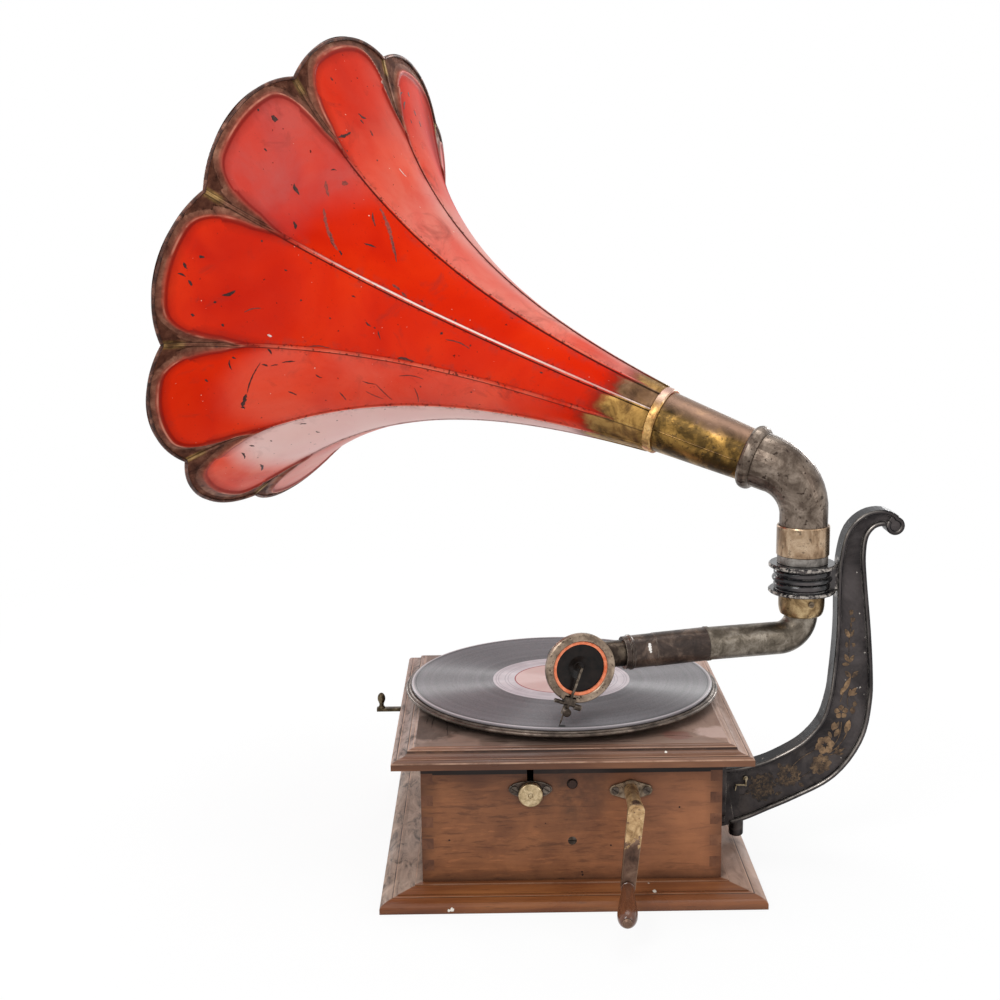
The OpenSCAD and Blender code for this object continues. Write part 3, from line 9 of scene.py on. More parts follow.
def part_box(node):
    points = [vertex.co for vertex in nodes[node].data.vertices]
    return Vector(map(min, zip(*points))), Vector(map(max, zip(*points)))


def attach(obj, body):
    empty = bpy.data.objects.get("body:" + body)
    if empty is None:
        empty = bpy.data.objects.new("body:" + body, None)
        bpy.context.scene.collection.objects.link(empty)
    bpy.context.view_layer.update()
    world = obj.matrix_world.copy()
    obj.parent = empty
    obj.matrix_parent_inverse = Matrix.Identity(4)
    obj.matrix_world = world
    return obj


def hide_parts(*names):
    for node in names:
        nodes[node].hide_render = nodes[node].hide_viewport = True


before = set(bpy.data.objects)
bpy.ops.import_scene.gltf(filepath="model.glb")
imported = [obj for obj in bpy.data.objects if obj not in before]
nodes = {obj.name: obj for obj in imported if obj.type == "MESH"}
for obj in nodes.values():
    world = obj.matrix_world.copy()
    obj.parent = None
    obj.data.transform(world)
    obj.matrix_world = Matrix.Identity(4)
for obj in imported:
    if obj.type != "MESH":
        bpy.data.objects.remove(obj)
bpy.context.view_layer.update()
MM = 0.001

# places on the part that the looks are tied to, in metres
CASE_HALF = 0.115
MID_Y = -0.0085
FRONT_Y = -0.1235
PANEL_FOOT, PANEL_TOP = 0.009, 0.107
LID_SHADOW = 0.0978
PLATE_MIDDLE = (0.001, FRONT_Y, 0.082)
HORN_AXIS = (0.1874, -0.048)
COLLAR_FOOT, COLLAR_TOP = 0.2145, 0.2475
LABEL_R, LABEL_LINE_R, RECORD_LIP_R = 0.0570, 0.0385, 0.1222

PETAL_FIELDS = ("lobe", "seam", "dist", "rim", "haze_glare_shade", "shade", "strip", "flank", "glint")


# -------------------- shader helpers

def channels(tint):
    """Red, green and blue from 0 to 255 of a tint like "c01400"."""
    return [int(tint[i:i + 2], 16) for i in (0, 2, 4)] if isinstance(tint, str) else tint


def rgb(tint):
    """Linear colour as the nodes take it."""
    return [v / 12.92 if v <= 0.04045 else ((v + 0.055) / 1.055) ** 2.4
            for v in (c / 255 for c in channels(tint))] + [1.0]


def dim(tint, share):
    return [min(250, c * share) for c in channels(tint)]


class Value:
    """A shader value; + - * and abs() turn it into math nodes."""

    def __init__(self, graph, socket):
        self.graph, self.socket = graph, socket

    def __add__(self, other):
        return self.graph.math("ADD", self, other)

    def __sub__(self, other):
        return self.graph.math("SUBTRACT", self, other)

    def __rsub__(self, other):
        return self.graph.math("SUBTRACT", other, self)

    def __mul__(self, other):
        return self.graph.math("MULTIPLY", self, other)

    def __abs__(self):
        return self.graph.math("ABSOLUTE", self)


class Graph:
    """Nodes of a material or world under construction. Colours are values or tints like "c01400"."""

    def __init__(self, name, world=False):
        self.block = bpy.data.worlds.new(name) if world else bpy.data.materials.new(name)
        self.block.use_nodes = True
        self.tree = self.block.node_tree
        self.tree.nodes.clear()
        self.out = self.tree.nodes.new("ShaderNodeOutputWorld" if world else "ShaderNodeOutputMaterial")
        self.pos = None if world else self.add("TexCoord", "Object")

    def add(self, kind, output=0, props=None, **inputs):
        """One output of a new node; inputs go by their name, or by number as i0, i1 and so on."""
        n = self.tree.nodes.new("ShaderNode" + kind)
        for key, v in (props or {}).items():
            setattr(n, key, v)
        for key, v in inputs.items():
            socket = n.inputs[int(key[1:]) if key[1:].isdigit() else key.replace("_", " ")]
            if isinstance(v, Value):
                self.tree.links.new(v.socket, socket)
            else:
                socket.default_value = v
        return Value(self, n.outputs[output])

    def show(self, shader):
        self.tree.links.new(shader.socket, self.out.inputs["Surface"])
        return self.block

    def math(self, op, a, b=0.0):
        return self.add("Math", 0, {"operation": op}, i0=a, i1=b)

    def maximum(self, first, *rest):
        for v in rest:
            first = self.math("MAXIMUM", first, v)
        return first

    def mix(self, fac, a, b):
        a, b = (c if isinstance(c, Value) else rgb(c) for c in (a, b))
        return self.add("Mix", 2, {"data_type": "RGBA", "clamp_factor": True}, i0=fac, i6=a, i7=b)

    def over(self, color, *layers):
        """Lays tints over a colour in turn, each given as how much of it and the tint."""
        for fac, tint in layers:
            color = self.mix(fac, color, tint)
        return color

    def ramp(self, fac, *stops):
        out = self.add("ValToRGB", "Color", Fac=fac)
        elements = out.socket.node.color_ramp.elements
        while len(elements) < len(stops):
            elements.new(0.5)
        for element, (at, tint) in zip(elements, stops):
            element.position = at
            element.color = rgb(tint)
        return out

    def map(self, value, lo, hi, to_lo=0.0, to_hi=1.0, smooth=False):
        return self.add("MapRange", 0, {"interpolation_type": "SMOOTHSTEP" if smooth else "LINEAR"},
                        i0=value, i1=lo, i2=hi, i3=to_lo, i4=to_hi)

    def scaled(self, scale=(1, 1, 1), rotation=(0, 0, 0), location=(0, 0, 0), vector=None):
        return self.add("Mapping", Vector=vector or self.pos, Scale=scale, Rotation=rotation, Location=location)

    def noise(self, scale, detail=4.0, rough=0.55, distort=0.0, vector=None, shift=0.0):
        v = vector or self.pos
        if shift:
            v = self.scaled(location=(shift, shift * 0.7, -shift * 1.3), vector=v)
        return self.add("TexNoise", "Fac", Vector=v, Scale=scale, Detail=detail, Roughness=rough,
                        Distortion=distort)

    def patch(self, lo, hi, *noise, **more):
        """0 where the noise is below lo, 1 above hi."""
        return self.map(self.noise(*noise, **more), lo, hi)

    def attr(self, name):
        return self.add("Attribute", "Fac", {"attribute_name": name})

    def xyz(self, vector=None):
        return [self.add("SeparateXYZ", axis, Vector=vector or self.pos) for axis in "XYZ"]

    def about(self, cx, cy):
        """x, y and z from an upright axis, and the distance from it."""
        x, y, z = self.xyz(self.scaled(location=(-cx, -cy, 0)))
        return x, y, z, self.math("SQRT", x * x + y * y)

    def normal(self):
        return self.add("NewGeometry", "Normal")

    def normal_z(self):
        return self.xyz(self.normal())[2]

    def facing(self, way):
        """How much the surface faces a way: 1 straight on, 0 edge on."""
        return self.add("VectorMath", "Value", {"operation": "DOT_PRODUCT"}, i0=way, i1=self.normal())

    def far(self, point):
        return self.add("VectorMath", "Value", {"operation": "DISTANCE"}, i0=self.pos, i1=point)

    def near(self, centre, radius, rag=0.0, scale=700.0):
        """1 inside a ragged blob round a point, all in mm."""
        v = self.far([c * MM for c in centre])
        if rag:
            v = v + (self.noise(scale, 4.0, 0.6) - 0.5) * (rag * MM)
        return self.map(v, radius * MM, radius * 0.75 * MM)

    def edges(self, radius):
        """How sharp the surface is here: 0 on flats, 1 on edges."""
        return self.map(1.0 - self.facing(self.add("Bevel", 0, {"samples": 4}, Radius=radius)), 0.02, 0.25)

    def crevice(self, reach, open_from):
        """1 deep in corners, 0 on open faces."""
        return self.map(self.add("AmbientOcclusion", "AO", {"samples": 4}, Distance=reach), open_from, 0.35)

    def bump(self, height, strength, distance):
        return self.add("Bump", "Normal", Height=height, Strength=strength, Distance=distance)

    def seen(self):
        """1 for what the camera sees itself, in a mirror or through glass; 0 for light on the part."""
        return self.maximum(*(self.add("LightPath", f"Is {ray} Ray")
                              for ray in ("Camera", "Glossy", "Transmission")))

    def finish(self, color, metallic, roughness, normal, coat=0.0, coat_rough=0.1, specular=0.5, **more):
        return self.show(self.add("BsdfPrincipled", Base_Color=color, Metallic=metallic, Roughness=roughness,
                                  Normal=normal, Coat_Weight=coat, Coat_Roughness=coat_rough,
                                  Specular_IOR_Level=specular, **more))


# -------------------- materials

def wood(name, axis, deep, mid, light, rough=0.42, coat=0, dust=0, dust_color="968070", figure=0,
         seed=0, side_dust=0, panel=False, chips=(), dots=(), ridges=(), patches=()):
    """Varnished wood with its grain along one axis, painted shade and grime deep in corners, and dust on what faces
    up.
    """
    g = Graph(name)
    x, y, z = g.xyz()
    v = g.scaled([5 if along == axis else 70 for along in "XYZ"], location=(seed, seed, seed))
    grain = g.noise(1, 5, 0.62, 0.6, vector=v)
    fine = g.noise(6, 3, 0.7, 0, vector=v)
    broad = g.noise(9, 3, 0.5, 0.8, shift=seed + 0.3)
    tone = grain * 0.62 + broad * 0.38
    if figure:
        flame = g.noise(22, 4, 0.6, 1.6, shift=seed + 1.7)
        tone = tone * (1 - figure) + flame * figure
    color = g.ramp(tone, (0.3, deep), (0.5, mid), (0.7, light))
    color = g.mix(g.map(fine, 0.6, 0.72) * 0.5, color, dim(deep, 0.5))
    if panel:
        # short dark flecks in the figured veneer, painted shade darkening it towards the top under the lid, a
        # painted shadow line in the gap under the lid, and hand grime towards every edge, which along the top is
        # also painted shade under the lid
        fleck = g.noise(1, 5, 0.66, 0.5, vector=g.scaled((42, 60, 260), rotation=(0, 0.14, 0)))
        edge = g.math("MINIMUM", PANEL_TOP - z, z - PANEL_FOOT)
        edge = g.math("MINIMUM", CASE_HALF - abs(x), edge) + (g.noise(50, 4, 0.6, shift=3.3) - 0.5) * 0.016
        cloud = g.map(g.far(PLATE_MIDDLE), 0.034, 0.01) * g.patch(0.36, 0.66, 90, 4, 0.6, shift=2.2)
        color = g.over(
            color,
            (g.map(fleck, 0.54, 0.64) * 0.5, dim(deep, 0.62)),
            (g.map(fleck, 0.42, 0.34, 0, 0.35), "b07046"),
            # painted shade under the lid, darker towards the top
            (g.map(z, 0.04, 0.1, 0, 0.42), "52362c"),
            (g.map(x, -0.01, 0.1, 0, 0.34), "b07452"),
            # painted shadow line in the gap under the lid
            (g.map(z, LID_SHADOW, LID_SHADOW + 0.0006), "0e0908"),
            (g.map(edge, 0.015, -0.001) * 0.62, "342018"),
            (cloud * 0.8, "463024"))
    if dust:
        patch = g.map(g.noise(26, 4, 0.6, 0.4, shift=4.1), 0.3, 0.72, 0.35, 1)
        color = g.mix(g.map(g.normal_z(), 0.25, 0.95) * patch * dust, color, dust_color)
    if side_dust:
        run = g.map(abs(x) - abs(y - MID_Y), -0.001, 0.001)
        scuff = g.noise(1, 6, 0.68, 0.8, vector=g.scaled((120, 42, 120)))
        powder = g.ramp(scuff, (0.36, dim(dust_color, 0.48)), (0.47, dim(dust_color, 0.86)),
                        (0.66, dim(dust_color, 1.08)))
        powder = g.mix(g.map(x, 0.02, 0.1, 0, 0.55), powder, "b8927f")
        side_amount = run * g.map(g.normal_z(), 0.05, 0.55) * side_dust
        color = g.over(color, (g.map(x, 0, 0.11, 0, 0.16), "b07c5c"), (side_amount, powder))
    # painted shade and grime deep in corners and under the lid
    color = g.mix(g.crevice(0.009, 0.85) * 0.75, color, "1e120e")
    if ridges:
        # painted highlight lines along the arrises, partly worn edges, and a painted shade line beside each, as
        # rings round the case: how far out and how wide in mm, and whether it is the highlight
        ring = g.maximum(abs(x), abs(y - MID_Y))
        patchy = g.map(g.noise(34, 5, 0.66, shift=seed + 8), 0.36, 0.56, 0.25, 1)
        for out, width, bright in ridges:
            line = g.map(abs(ring - (CASE_HALF + out * MM)), width * MM, width * 0.4 * MM) * patchy
            amount, tint = (0.56, "d4ac92") if bright else (0.85, "22140f")
            color = g.mix(line * amount, color, tint)
    for centre, radius, tint, amount in patches:
        color = g.mix(g.near(centre, radius, radius * 1.7, 45) * amount, color, tint)
    for spots, tint in ((chips, "e8e2d6"), (dots, "1a0f0c")):
        color = g.over(color, *((g.near(centre, radius, radius * 1.6), tint) for centre, radius in spots))
    rough_v = g.map(broad, 0.3, 0.7, rough - 0.08, rough + 0.12)
    if side_dust:
        rough_v = rough_v + side_amount * 0.35
        coat = (1 - side_amount) * coat
    return g.finish(color, 0, rough_v, g.bump(grain + fine * 0.6, 0.3, 0.0005), coat, 0.25, 0.25)


def metal(name, dark, mid, light, seed, scale, spots, rough=(0.28, 0.5), spot="322a22", pit=0.25, pit_size=0.16,
          edge_color=None, metallic=0.92, stretch=None, crisp=False, blotch=None, dirt_and_shade=0.5, painted_light_by_facing=None, nicks=()):
    """Tarnished metal: cloudy tone, dark specks and pits, painted shade and grime in corners, optionally a tint
    painted by which way the surface faces as painted light and shade, and optionally polished edges.
    """
    g = Graph(name)
    cloud = g.noise(scale, 7, 0.66, 0.5, vector=stretch and g.scaled(stretch), shift=seed + 0.01)
    grain = g.noise(scale * 9, 3, 0.7, shift=seed + 1)
    stops = (0.36, 0.44, 0.47, 0.62) if crisp else (0.34, 0.45, 0.52, 0.68)
    half_dark = [(a + b) / 2 for a, b in zip(channels(dark), channels(mid))]
    color = g.over(
        g.ramp(cloud, *zip(stops, (dark, half_dark, mid, light))),
        (g.map(grain, 0.42, 0.3, 0, 0.35), dark),
        (g.map(grain, 0.6, 0.72, 0, 0.3), light))
    if blotch:
        patch = g.patch(0.52, 0.6, scale * 0.8, 5, 0.6, 0.8, shift=seed + 5)
        color = g.mix(patch * 0.8, color, blotch)
    speck = g.patch(0.6, 0.68, scale * 5, 3, 0.6, shift=seed + 2)
    cells = g.add("TexVoronoi", "Distance", Vector=g.pos, Scale=scale * 6.5)
    pits = (g.map(cells, pit_size, pit_size * 0.5)
            * g.patch(0.48, 0.6, scale * 1.6, 3, 0.6, shift=seed + 4))
    color = g.over(color, (speck * spots, spot), (pits * spots, dim(spot, 0.6)))
    # painted light and shade: a tint on the surfaces that face one way
    if painted_light_by_facing:
        way, tint, amount = painted_light_by_facing
        side = g.facing(way) + (cloud - 0.5) * 0.8
        color = g.mix(g.map(side, 0.45, 0.75) * amount, color, tint)
    # painted shade and grime deep in corners
    if dirt_and_shade:
        color = g.mix(g.crevice(0.004, 0.8) * dirt_and_shade, color, "1a1512")
    color = g.over(color, *((g.near(centre, radius, radius), "e2ded8") for centre, radius in nicks))
    if edge_color:
        wear = g.edges(0.0009) * g.patch(0.38, 0.55, 120, 3, 0.6, shift=seed + 3)
        color = g.mix(wear * 0.85, color, edge_color)
    n = g.bump(cloud * 0.8 + (speck * -0.6 + pits * -1.2), pit, 0.0006)
    return g.finish(color, metallic, g.map(cloud, 0.3, 0.7, rough[1], rough[0]), n, specular=0.4)


def enamel(name, specular=0.05):
    """Red enamel of the petals: bare brown metal at the rim, gold or brown metal near the throat."""
    g = Graph(name)
    lobe, seam, dist, rim, haze_glare_shade, shade, strip, flank, glint = map(g.attr, PETAL_FIELDS)
    rag = g.noise(95, 6, 0.68, 0.3)
    fine = g.noise(420, 3, 0.6, shift=2.5)
    broad = g.noise(11, 3, 0.5, 0.6, shift=1)
    # paler where haze_glare_shade is high: faded, dusty enamel, with painted glare on the lower petals; painted
    # shade, dull and dark, where it is below 0
    veil = g.map(g.noise(18, 5, 0.6, 0.5, shift=3), 0.34, 0.64, 0.45, 1.2)
    chalk_and_glare = g.map(haze_glare_shade, 0.36, 0.9, 0, 0.8) * g.map(broad, 0.3, 0.7, 0.85, 1.1)
    smoke = (g.patch(0.57, 0.76, 26, 5, 0.65, 1.4, shift=5)
             * g.patch(0.42, 0.6, 7, 2, 0.5, shift=9.3))
    # small chips and rubbed dots
    chip = g.patch(0.715, 0.735, 260, 3, 0.55, shift=8)
    dot = g.patch(0.775, 0.785, 330, 2, 0.5, shift=12)
    # seams: painted shade in the creases beside the raised band, darker on one flank, a pale crown that is partly
    # rubbed paint and partly painted highlight, smoky wear round them
    close = g.map(seam, 0.01, 0.002) * g.map(rag, 0.5, 0.66)
    crown = g.map(strip, 0, -0.0004) * g.patch(0.36, 0.6, 30, 4, 0.6, shift=15)
    speckle = g.map(seam, 0.005, 0.001) * g.patch(0.59, 0.63, 340, 3, 0.6, shift=16)
    crease = g.map(abs(strip), 0.0008, 0.0003) * flank
    red = g.over(
        g.ramp(broad, (0.3, "c01400"), (0.5, "d52402"), (0.7, "e23206")),
        (g.map(fine, 0.6, 0.75, 0, 0.22), "96180c"),
        (haze_glare_shade * veil, g.mix(g.map(shade, 0.8, 0.9), "e69680", "b06864")),
        (chalk_and_glare, g.mix(g.map(shade, 0.2, 0.6), "e6d0cc", "b0908a")),
        (g.map(haze_glare_shade, 0, -1), "601008"),
        (smoke * 0.55, "762e2a"),
        (chip * 0.9, "3a1a16"),
        (dot, "e2beac"),
        (close * 0.5, "7a3c36"),
        (crown * 0.4, "ec8468"),
        (speckle * 0.8, "381814"),
        (crease * 0.9, "3e0e0a"))
    # bare brown metal outside the lobes, with a soft singed border and painted shade along the seam creases
    olive = g.ramp(g.noise(90, 4, 0.6, shift=6), (0.35, "584026"), (0.65, "be9a62"))
    corner = g.map(rim, 0.022, 0.012, smooth=True) * g.map(seam, 0.005, 0.0022, smooth=True)
    brown = g.over(
        g.ramp(rag, (0.32, "4a2c23"), (0.52, "784e3e"), (0.7, "9a705b")),
        (g.map(lobe, -0.0035, 0.001, 0, 0.45), "8a382c"),
        (corner * 0.85, olive),
        (g.map(abs(strip), 0.0006, 0.0002) * 0.7, "180d0b"))
    edge = lobe + (rag - 0.5) * 0.0042
    bare = g.map(edge, 0.0022, -0.0012)
    singed = g.map(edge, 0.0085, 0.0012) * 0.55
    welt = g.map(abs(lobe - 0.0022), 0.0014, 0.0004, 0, 0.55)
    # pale strokes on the welt's crest: worn paint and painted highlight
    crest = (g.map(abs(lobe - 0.0002), 0.0008, 0.0003)
             * g.map(g.noise(15, 4, 0.6, shift=14), 0.47, 0.56, 0.08, 1))
    # metal towards the throat, browner on some petals, with painted shade in the seam creases
    gold = g.ramp(g.noise(60, 7, 0.68, 0.8, shift=2), (0.34, "604626"), (0.46, "96723c"),
                  (0.54, "b48c4d"), (0.7, "caa45e"))
    dull = g.ramp(g.noise(70, 7, 0.68, 0.6, shift=7), (0.34, "483428"), (0.52, "684c3a"),
                  (0.68, "866852"))
    throat = g.mix(crease * 0.8, g.mix(shade, gold, dull), "1e140e")
    burn = (dist + (g.noise(44, 5, 0.66, 0.6, shift=4) - 0.5) * 0.024
            + g.map(seam, 0.0035, 0.0005, 0, 0.012))
    gone = g.map(burn, 0.059, 0.047, smooth=True)
    color = g.over(
        red,
        (singed, "801a12"),
        (welt, "761410"),
        (bare, brown),
        (crest * 0.62, "d6927a"),
        (g.map(burn, 0.069, 0.055) * 0.75, "682218"),
        (gone, throat),
        # painted highlight along one seam's crown
        (glint * g.map(rag, 0.34, 0.48, 0.6, 1), "f2d8ce"))
    metal_all = g.maximum(bare, gone)
    rough = g.map(broad, 0.3, 0.7, 0.26, 0.38) + metal_all * 0.1 + g.map(haze_glare_shade, 0, -1, 0, 0.5)
    n = g.bump(broad * 2 + (rag + chip * -0.5), 0.1, 0.001)
    return g.finish(color, metal_all * 0.55, rough, n, specular=specular)


def marks_look(name):
    """Old knocks in the enamel: dark where the tone is 0, smoky in between, pale at 1."""
    g = Graph(name)
    tone = g.attr("tone")
    rag = g.noise(500, 3, 0.6)
    dark, smoky, pale = (g.ramp(rag, (0.35, low), (0.65, high)) for low, high in (
        ("221210", "4e2822"), ("76342e", "a44234"), ("c8aaa0", "ecded8")))
    color = g.over(dark, (g.map(tone, 0, 0.3), smoky), (g.map(tone, 0.5, 0.9), pale))
    return g.finish(color, 0, 0.45, g.bump(rag, 0.2, 0.0003), specular=0.25)


def vine_paint(name):
    """Old gold paint, rubbed through to the black where the shape says it is worn."""
    g = Graph(name)
    rag = g.noise(420, 4, 0.65, 0.5)
    tone = g.ramp(g.noise(140, 4, 0.6), (0.35, "523e2e"), (0.65, "967858"))
    color = g.mix(g.map(g.attr("worn") + (rag - 0.5) * 1.7, 0.05, 0.85), tone, "221e1d")
    return g.finish(color, 0.1, 0.5, g.bump(rag, 0.2, 0.0004), specular=0.25)


def record_look(name, centre):
    """Grooved disc with a pale label: everything is a ring round the spindle."""
    g = Graph(name)
    x, y, z, r = g.about(*centre)

    def ring(radius, width):
        return g.map(abs(r - radius), width, width * 0.5)

    def grooves(per_metre, detail, rough):
        return g.noise(1, detail, rough, vector=g.add("CombineXYZ", X=r * per_metre))

    dusty = g.patch(0.35, 0.75, 38, 5, 0.6, shift=2)
    grainy = g.noise(1100, 2, 0.5, shift=6)
    black = g.over(
        g.ramp(grooves(160, 3, 0.6), (0.3, "525053"), (0.7, "716d71")),
        (dusty * 0.28, "605c5e"),
        (g.map(grainy, 0.52, 0.7, 0, 0.4), "848082"),
        (g.map(grainy, 0.44, 0.34, 0, 0.4), "1e1d1f"),
        # paler past the lip and a pale ring on it: painted highlight along the record's rim; a dark line just
        # inside it
        (g.map(r, RECORD_LIP_R - 0.0004, RECORD_LIP_R + 0.0004) * 0.42, "968e90"),
        (ring(RECORD_LIP_R + 0.0016, 0.0008) * 0.8, "c4bcbe"),
        (ring(RECORD_LIP_R - 0.0008, 0.0005) * 0.8, "141315"))
    paper = g.over(
        g.ramp(g.noise(60, 4, 0.6), (0.3, "b6acb0"), (0.7, "d0c8cc")),
        (g.map(r, LABEL_LINE_R, LABEL_LINE_R - 0.0005) * 0.8, "d4b0a8"),
        (ring(LABEL_LINE_R, 0.0007), "96383c"),
        *((ring(radius, 0.0005) * 0.5, "8c828c") for radius in (0.0545, 0.0525, 0.047, 0.0445)))
    on_label = g.map(r, LABEL_R + 0.0002, LABEL_R - 0.0002)
    color = g.over(
        black,
        (on_label, paper),
        (g.near((-6.9, -118.6, 134.4), 3.2), "0c0b0b"),
        (g.map(g.normal_z(), 0.6, 0.4) * 0.5, "6e6668"))
    outward = g.add("VectorTransform", 0, {"vector_type": "VECTOR", "convert_from": "OBJECT",
                                           "convert_to": "WORLD"}, Vector=g.add("CombineXYZ", X=x, Y=y))
    n = g.bump(grooves(900, 2, 0.5) * (1 - on_label), 0.06, 0.0004)
    return g.finish(color, 0, on_label * 0.2 + 0.52, n, specular=0.6, Anisotropic=0.95, Tangent=outward)


def black_enamel(name, bead=False):
    """Black paint on the casting, glossier and more rubbed round the collar."""
    g = Graph(name)
    x, y, z, radial = g.about(*HORN_AXIS)
    dust = g.patch(0.5, 0.8, 46, 5, 0.65, 0.6, shift=3)
    front = g.ramp(g.noise(24, 5, 0.65, 0.8, shift=6), (0.35, "2c2828"), (0.65, "5a5352"))
    tone = g.over(
        g.ramp(g.noise(20, 4, 0.6, 0.5), (0.3, "0c0c0e"), (0.7, "1e1d20")),
        # paler on the faces that look to the front: dust and painted light
        (g.map(g.facing((0, -1, 0)), 0.8, 0.97) * 0.8, front),
        (dust * (g.map(z, 0.16, 0.06) * 0.55 + 0.18), "685e58"))
    collar = (g.map(radial, 0.029, 0.027) * g.map(z, COLLAR_FOOT, COLLAR_FOOT + 0.0005)
              * g.map(z, COLLAR_TOP, COLLAR_TOP - 0.0005))
    edge = g.edges(0.0012) * g.patch(0.44, 0.58, 120, 4, 0.65, shift=1)
    chip = g.patch(0.705, 0.725, 210, 3, 0.6, shift=5)
    rub = collar * (g.map(radial, 0.0256, 0.0261) * g.patch(0.47, 0.53, 300, 5, 0.7, shift=2))
    worn = g.maximum(edge * 0.6, chip, rub)
    if bead:
        # painted highlight, streaky like rubbed paint, along the side of the bead's crown that faces up, left and
        # to the front
        streak = g.map(g.noise(30, 5, 0.66, shift=7.7), 0.4, 0.62, 0.12, 1)
        worn = g.maximum(worn, g.map(g.facing((-0.5, -0.72, 0.48)), 0.8, 0.97) * streak)
    color = g.mix(worn, tone, "aca49c")
    n = g.bump(g.noise(70, 3, 0.5, shift=6), 0.12, 0.001)
    coat = collar * g.map(radial, 0.0262, 0.0256) * 0.6
    return g.finish(color, worn * 0.7, g.map(dust, 0, 1, 0.24, 0.46), n, coat, 0.16, 0.07)


def crank_look(name):
    """Brown steel with a flaky, sharp edged layer of old plating left round the hub and on the upper arm."""
    g = Graph(name)
    z = g.xyz()[2]
    cloud = g.noise(70, 6, 0.64, 0.5)
    steel = g.ramp(cloud, (0.34, "3c2b23"), (0.5, "62493c"), (0.68, "886c5a"))
    plating = g.ramp(g.noise(150, 5, 0.65, 0.5, shift=2), (0.36, "866846"), (0.5, "b49268"),
                     (0.66, "d6b68a"))
    edge = z + (g.noise(130, 6, 0.7, 0.4, shift=3) - 0.5) * 0.052
    keep = g.map(edge, 0.0605, 0.0609) * g.map(z, 0.0905, 0.0895)
    gaps = g.patch(0.6, 0.62, 240, 4, 0.65, shift=4)
    color = g.over(steel, (keep * (1 - gaps), plating), (g.edges(0.0009) * 0.5, "c4ac8a"))
    n = g.bump(keep * 0.8 + cloud, 0.35, 0.0005)
    return g.finish(color, 0.6, g.map(cloud, 0.3, 0.7, 0.52, 0.38), n, specular=0.35)


def plain(name, dark, light, rough, scale=80, specular=0.3):
    g = Graph(name)
    t = g.noise(scale, 5, 0.6, 0.3, shift=0.01)
    return g.finish(g.ramp(t, (0.32, dark), (0.68, light)), 0, g.map(t, 0.3, 0.7, rough + 0.06, rough - 0.06),
                    g.bump(t, 0.2, 0.0006), specular=specular)


WALNUT = ("40261a", "66402c", "84583e")
